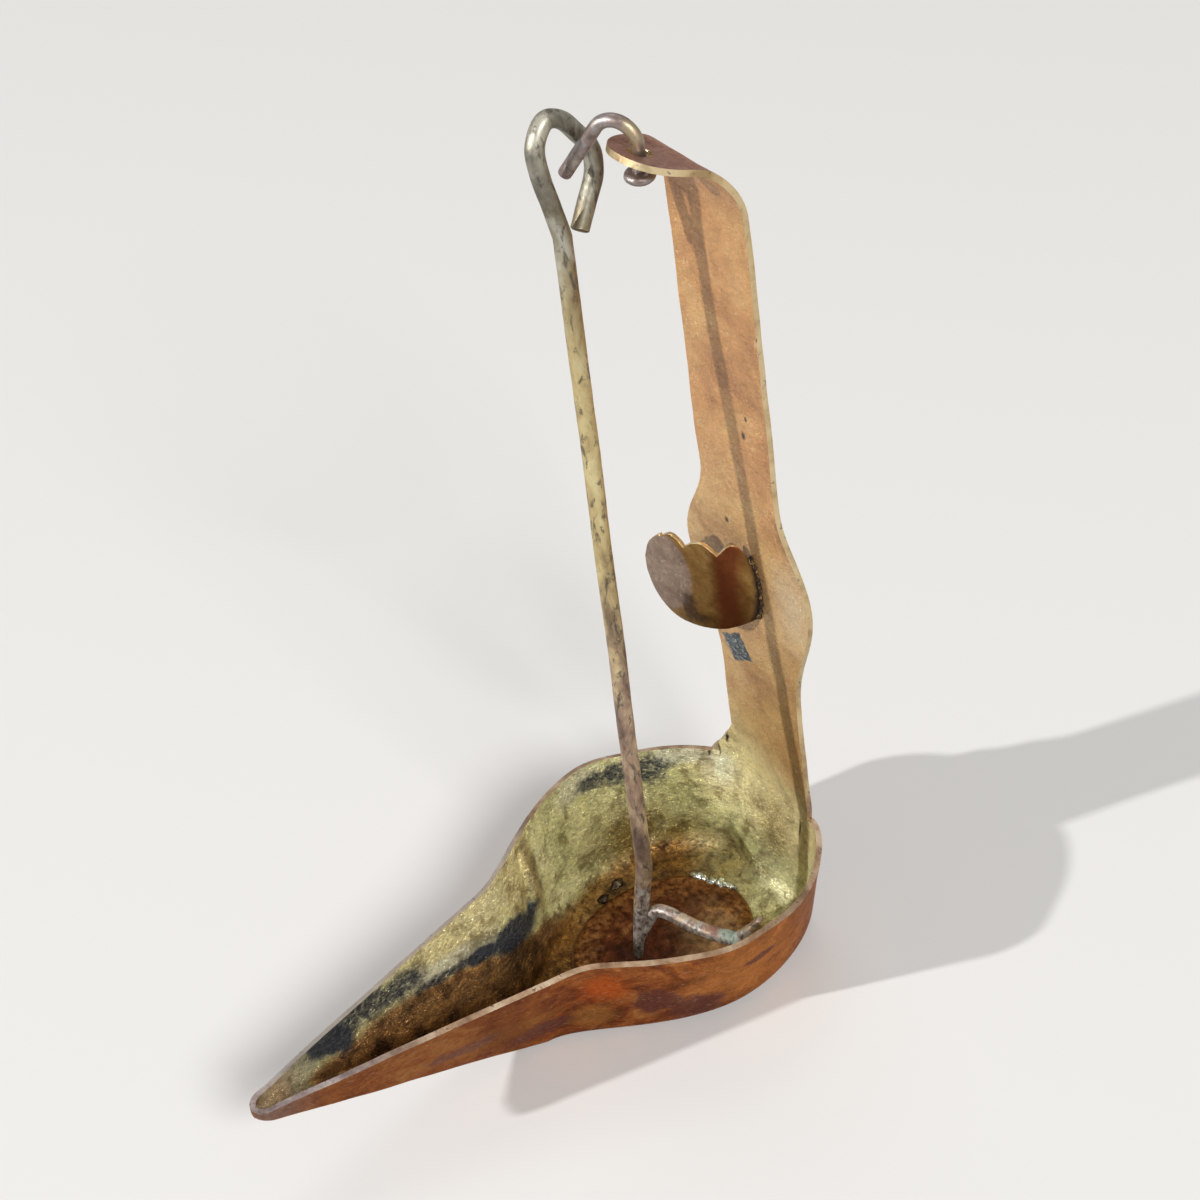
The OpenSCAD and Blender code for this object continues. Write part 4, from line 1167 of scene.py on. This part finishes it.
def leaf_brass():
    f = Finish("leaf_brass")
    patches, fine = f.grain(0.16, 6, 0.62, 0.5), f.grain(1.0, 6, 0.7, 0.6)
    f.colour = f.ramp(patches, (0.34, (0.14, 0.068, 0.017)), (0.5, (0.24, 0.13, 0.036)),
                      (0.66, (0.34, 0.215, 0.075)))
    # A painted reflection: a dark red band down the leaf's bend.
    painted_red_reflection = f.span(f.math("ABSOLUTE", f.plus(f.axis("X"), 0.4)), 3.6, 0.8)
    f.stain(painted_red_reflection, (0.125, 0.024, 0.008), 0.85)
    worn = f.blot((-13.6, 48, 80.6), (6.9, 9, 9.4), border=0.08, rag=0.22, rag_grain=0.3)
    grey = f.ramp(patches, (0.34, (0.15, 0.10, 0.075)), (0.5, (0.235, 0.165, 0.12)),
                  (0.68, (0.32, 0.24, 0.18)))
    specks = f.times(f.span(f.grain(0.8, 4, 0.6), 0.62, 0.69), 0.7)
    f.stain(worn, f.mix(specks, grey, (0.50, 0.44, 0.36)))
    crust = f.blots(((-8.2, 49.5, 74), (1.4, 3, 4)), ((-6.4, 50, 71.8), (2.6, 3, 1.4)),
                    rag=0.9, rag_grain=0.5)
    f.stain(crust, (0.045, 0.022, 0.014), 0.8)
    root = f.span(f.plus(f.axis("Y"), f.times(fine, 2.0)), 56.6, 57.8)
    f.stain(root, (0.03, 0.017, 0.011))
    lit = f.ramp(fine, (0.36, (0.7, 0.68, 0.65)), (0.55, (1, 1, 1)), (0.7, (1.2, 1.16, 1.1)))
    f.stain(0.7, lit, kind="MULTIPLY")
    rough = f.plus(f.span(fine, 0.3, 0.7, 0.42, 0.28), f.times(worn, 0.12))
    metal = f.minus(0.92, f.times(worn, 0.25))
    return f.close(rough, metal, f.bump(fine, 0.08, 0.5))


leaf_finish = leaf_brass()
leaf_piece = mesh_object("notched_leaf", *leaf_surface())
thicken(leaf_piece, LEAF_T, (leaf_finish, leaf_finish, edge_finish))
ease_edges(leaf_piece, LEAF_EDGE)
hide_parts("leaf_bracket")
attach(leaf_piece, "lamp_body")
print("leaf", len(leaf_piece.data.polygons), "faces")

# %% [markdown]
# The leaf's root is brazed on the strap with a rough seam, gold above and blackened below. Like the
# solder, it is a row of uneven lumps, close enough to read as one bead.

# %% Braze at the leaf's root
BRAZE_LUMPS, BRAZE_LOW, BRAZE_STEP = 26, 46.4, 0.58
BRAZE_STRAY, BRAZE_R, BRAZE_SPREAD = 0.8, 0.5, 0.38


def braze_places():
    places = []
    for i in range(BRAZE_LUMPS):
        h = BRAZE_LOW + i * BRAZE_STEP
        (y, z), _ = strap_line(h)
        side = BRAZE_STRAY * noise.noise(Vector((i * 0.83, 3, 1)))
        size = BRAZE_R + BRAZE_SPREAD * noise.noise(Vector((i * 1.3, 0, 9)))
        place = (LEAF_X + root_bow(h) + 0.2 + side, y - MID - 0.1, z)
        places.append((place, (size * 1.2, size * 0.8, size * 1.1), 0.0))
    return places


def rough_braze():
    f = Finish("rough_braze")
    patches = f.grain(0.8, 6, 0.7, 0.8)
    f.colour = f.ramp(patches, (0.46, (0.022, 0.012, 0.008)), (0.58, (0.10, 0.055, 0.025)),
                      (0.70, (0.42, 0.29, 0.13)))
    rough, metal = f.span(patches, 0.35, 0.65, 0.7, 0.35), f.span(patches, 0.45, 0.6, 0.4, 0.95)
    return f.close(rough, metal, f.bump(patches, 0.2, 0.8))


braze_piece = lumps("leaf_braze", braze_places(), 0.35)
braze_piece.data.materials.append(rough_braze())
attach(braze_piece, "lamp_body")
print("braze", len(braze_piece.data.polygons), "faces")

# %% [markdown]
# Wire pieces are tubes that follow a line. A curve with a round bevel would be quick, but real bent wire
# changes in thickness, flattens at its ends and is cut off, so the rings are placed one by one along the
# line, and each may be narrower one way than the other.

# %% A helper for bent wire
WIRE_SIDES, WIRE_SLACK, DENT = 26, 0.985, 0.035
CUT_END = ((0.0, 0.72), (0.10, 0.93), (0.30, 1.0))


def spline(corners, steps):
    """A smooth line through the given corners."""
    line = []
    for i in range(len(corners) - 1):
        a, b = corners[max(0, i - 1)], corners[i]
        c, d = corners[i + 1], corners[min(len(corners) - 1, i + 2)]
        for k in range(steps):
            t = k / steps
            bend, twist = 2 * a - 5 * b + 4 * c - d, 3 * b - a - 3 * c + d
            line.append(0.5 * (2 * b + (c - a) * t + bend * t * t + twist * t ** 3))
    return line + [corners[-1]]


def bent_wire(line, width, normal, thin=lambda share: 1.0, square=0.0, seed=0.0):
    """Rings round a line. Width and thinness go by part of the length, and hammering makes it squarer."""
    lengths, last, rows = lengths_along(line), len(line) - 1, []

    def place_ring(centre, direction, share, scale):
        u = direction.cross(normal).normalized()
        v = u.cross(direction)
        row = []
        for k in range(WIRE_SIDES):
            a = 2 * pi * k / WIRE_SIDES
            way = u * cos(a) * thin(share) + v * sin(a)
            dent = 1 + DENT * noise.noise((centre + way * 1.5) / 2.6 + Vector((seed, 0, 0)))
            row.append(centre + way * width(share) * scale * dent * (1 - square * cos(4 * a)))
        rows.append(row)

    for i, p in enumerate(line):
        direction = (line[min(last, i + 1)] - line[max(0, i - 1)]).normalized()
        share = lengths[i] / lengths[-1]
        ends = CUT_END if i == 0 else CUT_END[::-1] if i == last else ((0.0, 1.0),)
        inward = direction if i == 0 else -direction
        for step, scale in ends:
            place_ring(p + inward * step * width(share), direction, share, scale)
    return skin_of_rings(rows)


print("wire rings have", WIRE_SIDES, "points")

# %% [markdown]
# The swivel hook is a short wire that passes up through the arm's hole, arches over and points down into
# the rod's eye. Under the arm its end was hammered into a head, so it turns but can't pull out.

# %% Swivel hook
CREST_R, LEG_LEN, SHANK_RISE = 3.8, 11.4, 2.0
CREST_TURN, HOOK_AIM = radians(146), radians(60)
SHANK_N, CREST_N, LEG_N, HEAD_SIDES = 10, 30, 12, 40
HEAD_D, HEAD_H, HEAD_GAP, HEAD_SLACK = 5.4, 2.2, 0.8, 0.98
HEAD_PROFILE = ((0.15, -1.0), (0.42, -0.97), (0.74, -0.86), (0.93, -0.66), (1.0, -0.45), (0.97, -0.28),
                (0.85, -0.10), (0.55, 0.0), (0.05, 0.0))
hook_way = Vector((-sin(HOOK_AIM), -cos(HOOK_AIM), 0))
shank_top = shank_arm_z + SHANK_RISE
head_top = shank_arm_z - HEAD_D / 2 * tan(ARM_TILT) - MID / cos(ARM_TILT) - HEAD_GAP


def on_hook(reach, height):
    return Vector((0, shank_y, height)) + hook_way * reach


leg_root = (CREST_R * (1 - cos(CREST_TURN)), shank_top + CREST_R * sin(CREST_TURN))


def on_leg(d):
    """A place d millimetres down the hook's leg."""
    return on_hook(leg_root[0] + d * sin(CREST_TURN), leg_root[1] + d * cos(CREST_TURN))


def hook_line():
    line = [on_hook(0, lerp(head_top - 1.0, shank_top, i / SHANK_N)) for i in range(SHANK_N)]
    for i in range(CREST_N + 1):
        a = CREST_TURN * i / CREST_N
        line.append(on_hook(CREST_R * (1 - cos(a)), shank_top + CREST_R * sin(a)))
    return line + [on_leg(LEG_LEN * i / LEG_N) for i in range(1, LEG_N + 1)]


def hammered_head():
    """Rings of the peened head, from its dome up to its top under the arm."""
    rows = []
    for share, drop in HEAD_PROFILE:
        row, centre = [], Vector((0, shank_y, head_top + drop * HEAD_H))
        for k in range(HEAD_SIDES):
            a = 2 * pi * k / HEAD_SIDES
            way = Vector((cos(a), sin(a), 0))
            grow = 1 + 0.05 * noise.noise(way * 1.6 + Vector((0, 0, drop)))
            row.append(centre + way * share * HEAD_D / 2 * HEAD_SLACK * grow)
        rows.append(row)
    return skin_of_rings(rows)


def grey_hook():
    f = Finish("grey_hook")
    patches, fine = f.grain(0.3, 6, 0.62, 0.4), f.grain(1.4, 6, 0.7)
    f.colour = f.ramp(patches, (0.34, (0.13, 0.095, 0.085)), (0.48, (0.25, 0.195, 0.175)),
                      (0.6, (0.32, 0.285, 0.28)), (0.72, (0.42, 0.34, 0.22)))
    brassy = f.blot((-0.5, 41, 180), (1.6, 2.2, 3.5), rag=0.8)
    f.stain(brassy, (0.46, 0.37, 0.20), 0.6)
    f.stain(f.span(fine, 0.40, 0.30), (0.05, 0.035, 0.03))
    return f.close(f.span(fine, 0.3, 0.7, 0.52, 0.36), 0.9, f.bump(fine, 0.10, 0.6))


def joined(name, *shapes):
    """One mesh object from several lists of points and faces."""
    points, faces = [], []
    for more_points, more_faces in shapes:
        start = len(points)
        points += more_points
        faces += [tuple(i + start for i in face) for face in more_faces]
    return mesh_object(name, points, faces)


hook_side = hook_way.cross(Vector((0, 0, 1)))
hook_shape = bent_wire(hook_line(), lambda share: HOOK_D / 2 * WIRE_SLACK, hook_side, seed=4.0)
hook_piece = joined("swivel_wire", hook_shape, hammered_head())
hook_piece.data.materials.append(grey_hook())
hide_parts("swivel_hook")
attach(hook_piece, "hook")
print("hook", len(hook_piece.data.polygons), "faces, head under the arm at", round(head_top, 2), "mm")

# %% [markdown]
# The hanging rod stands in the bowl and leans back to the hook. Its top is bent round into a leaning eye
# whose cut end comes back beside the rod, and its foot was split into a spike and a side hook. The line
# of each is a smooth curve through a few corners, and the rod is nearly, but not quite, straight.

# %% Lines of the hanging rod
ROD_D, EYE_AIM, LEG_THROUGH, EYE_U, EYE_V = 3.2, radians(100), 1.4, 3.0, 10.6
SIDE_AIM, SIDE_REACH, SIDE_R, KNEE_RISE, SHAFT_N, SHAFT_WAVE = radians(25), 18.5, 1.18, 9.4, 90, 0.22
SPIKE_BACK, SPIKE_ASIDE, SPIKE_GAP, SPIKE_THIN, CURVE_STEPS = 2.5, 1.5, 0.9, 0.6, 10
SIDE_ROOT, SIDE_END, SIDE_RISE, SIDE_DIP = 0.21, 1.32, 8.0, 0.1
EYE_CORNERS = ((0, 0), (-1.5, 6), (-3, 11.8), (-3.4, 16.8), (-0.9, 20.3), (2.6, 19.4), (5.9, 15.7),
               (8.3, 12.3), (8.5, 8), (6.2, 3.6), (3.8, -0.6))
SIDE_CORNERS = ((-0.022, -0.3), (0.06, -0.13), (0.2, -0.07), (0.48, -0.13), (0.735, -0.15),
                (0.924, -0.125), (1.043, -0.1))
fork = Vector((2.5, BACK_Y - 34.4, 17.6))
leg_cross = on_leg(LEG_LEN - LEG_THROUGH)
eye_level = Vector((cos(EYE_AIM), sin(EYE_AIM), 0))
rod_mark = leg_cross - eye_level * EYE_U
rod_way = (rod_mark - fork).normalized()
eye_root = rod_mark - rod_way * EYE_V
eye_out = (eye_level - rod_way * eye_level.dot(rod_way)).normalized()
eye_normal = eye_out.cross(rod_way)
side_way = Vector((cos(SIDE_AIM), sin(SIDE_AIM), 0))
knee = fork + rod_way * KNEE_RISE
spike_point = Vector((fork.x, fork.y - SPIKE_BACK, SHEET + PLATE_T + SPIKE_GAP)) - side_way * SPIKE_ASIDE


def rod_line():
    """The rod's line from its spike up the wavy shaft and round the eye."""
    spike = spline([spike_point, spike_point.lerp(knee, 0.5), knee], CURVE_STEPS)
    shaft = []
    for i in range(1, SHAFT_N):
        aside, ahead = (noise.noise(Vector((row, 0, i / 14))) for row in (0, 5))
        wave = Vector((aside, ahead, 0)) * SHAFT_WAVE * sin(pi * i / SHAFT_N)
        shaft.append(knee.lerp(eye_root, i / SHAFT_N) + wave)
    eye = spline([eye_root + eye_out * u + rod_way * v for u, v in EYE_CORNERS], CURVE_STEPS)
    return spike + shaft + eye


def rod_width(line):
    """Radius along the rod: the spike tapers to its point."""
    spike_share = (fork - spike_point).length / lengths_along(line)[-1]
    return lambda share: ROD_D / 2 * lerp(SPIKE_THIN, 1.0, clamp(share / spike_share)) * WIRE_SLACK


def side_line():
    """The side hook's line from its root in the spike to its upturned end."""
    root = spike_point.lerp(knee, SIDE_ROOT)
    corners = [fork + side_way * u * SIDE_REACH + Vector((0, 0, v * SIDE_REACH)) for u, v in SIDE_CORNERS]
    end = fork + side_way * SIDE_END * SIDE_REACH + Vector((0, 0, SIDE_RISE - SIDE_DIP * SIDE_REACH))
    return spline([root, *corners, end], CURVE_STEPS)


def side_width(share):
    """Radius along the side hook: it swells to its middle and thins to its end."""
    return SIDE_R * (lerp(1, 1.2, share / 0.7) if share < 0.7 else lerp(1.2, 0.8, (share - 0.7) / 0.3))


rod_lean = degrees(rod_way.angle(Vector((0, 0, 1))))
print("rod leans", round(rod_lean, 2), "degrees, eye root at", [round(v, 1) for v in eye_root])

# %% [markdown]
# The rod is brassy yellow with dark specks in its middle, purple brown lower down, and greyer at the eye.
# The side hook has rust on its back and a little green verdigris near its end.

# %% Finish and mesh of the hanging rod


def rod_brass():
    f = Finish("rod_brass")
    patches, fine = f.grain(0.22, 6, 0.62, 0.4, stretch=(1, 1, 0.5)), f.grain(1.1, 6, 0.7, 0.4)
    brass = f.ramp(patches, (0.34, (0.30, 0.22, 0.11)), (0.5, (0.50, 0.40, 0.20)), (0.66, (0.62, 0.53, 0.29)))
    brown = f.ramp(patches, (0.36, (0.15, 0.10, 0.08)), (0.5, (0.37, 0.26, 0.185)),
                   (0.64, (0.60, 0.47, 0.31)))
    grey = f.ramp(patches, (0.36, (0.10, 0.095, 0.08)), (0.5, (0.24, 0.225, 0.175)),
                  (0.64, (0.42, 0.40, 0.33)))
    pale = f.ramp(f.grain(0.7, 6, 0.68, 0.3), (0.36, (0.09, 0.065, 0.055)), (0.46, (0.30, 0.23, 0.20)),
                  (0.54, (0.42, 0.39, 0.355)), (0.64, (0.60, 0.57, 0.49)))
    height = f.plus(f.axis("Z"), f.times(f.minus(patches, 0.5), 60))
    f.colour = f.mix(f.span(height, 62, 98), brown, brass)
    f.stain(f.span(height, 132, 172), grey)
    f.stain(f.span(height, 24, 16), pale)
    rust = f.blots(((9, 30, 19.2), (5, 4, 1.6)), ((15.5, 33, 17), (4, 3, 1.6)), rag=0.9, rag_grain=0.5)
    green = f.blot((18.9, 33.6, 16.6), (2.4, 2.2, 1.5), rag=0.9, rag_grain=0.7)
    specks = f.span(f.grain(0.6, 6, 0.66, 0.8, stretch=(1, 1, 0.4)), 0.47, 0.36)
    f.stain(rust, (0.20, 0.085, 0.05), 0.8)
    f.stain(green, (0.30, 0.40, 0.33), 0.75)
    f.stain(specks, (0.085, 0.07, 0.058), 0.8)
    corroded = f.most(rust, green)
    rough = f.plus(f.span(fine, 0.3, 0.7, 0.60, 0.42), f.times(corroded, 0.2))
    metal = f.minus(0.8, f.times(corroded, 0.6))
    return f.close(rough, metal, f.bump(fine, 0.10, 0.6))


def side_thin(share):
    """The side hook is hammered flat towards its end."""
    return lerp(1.0, 0.62, smooth((share - 0.8) / 0.15))


shaft_line, hook_side_line = rod_line(), side_line()
rod_shape = bent_wire(shaft_line, rod_width(shaft_line), eye_normal, square=0.03, seed=1.0)
side_normal = side_way.cross(Vector((0, 0, 1)))
side_shape = bent_wire(hook_side_line, side_width, side_normal, thin=side_thin, square=0.055, seed=2.0)
rod_piece = joined("eye_rod", rod_shape, side_shape)
rod_piece.data.materials.append(rod_brass())
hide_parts("hanging_rod")
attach(rod_piece, "rod")
print("rod", len(rod_piece.data.polygons), "faces")

# %% [markdown]
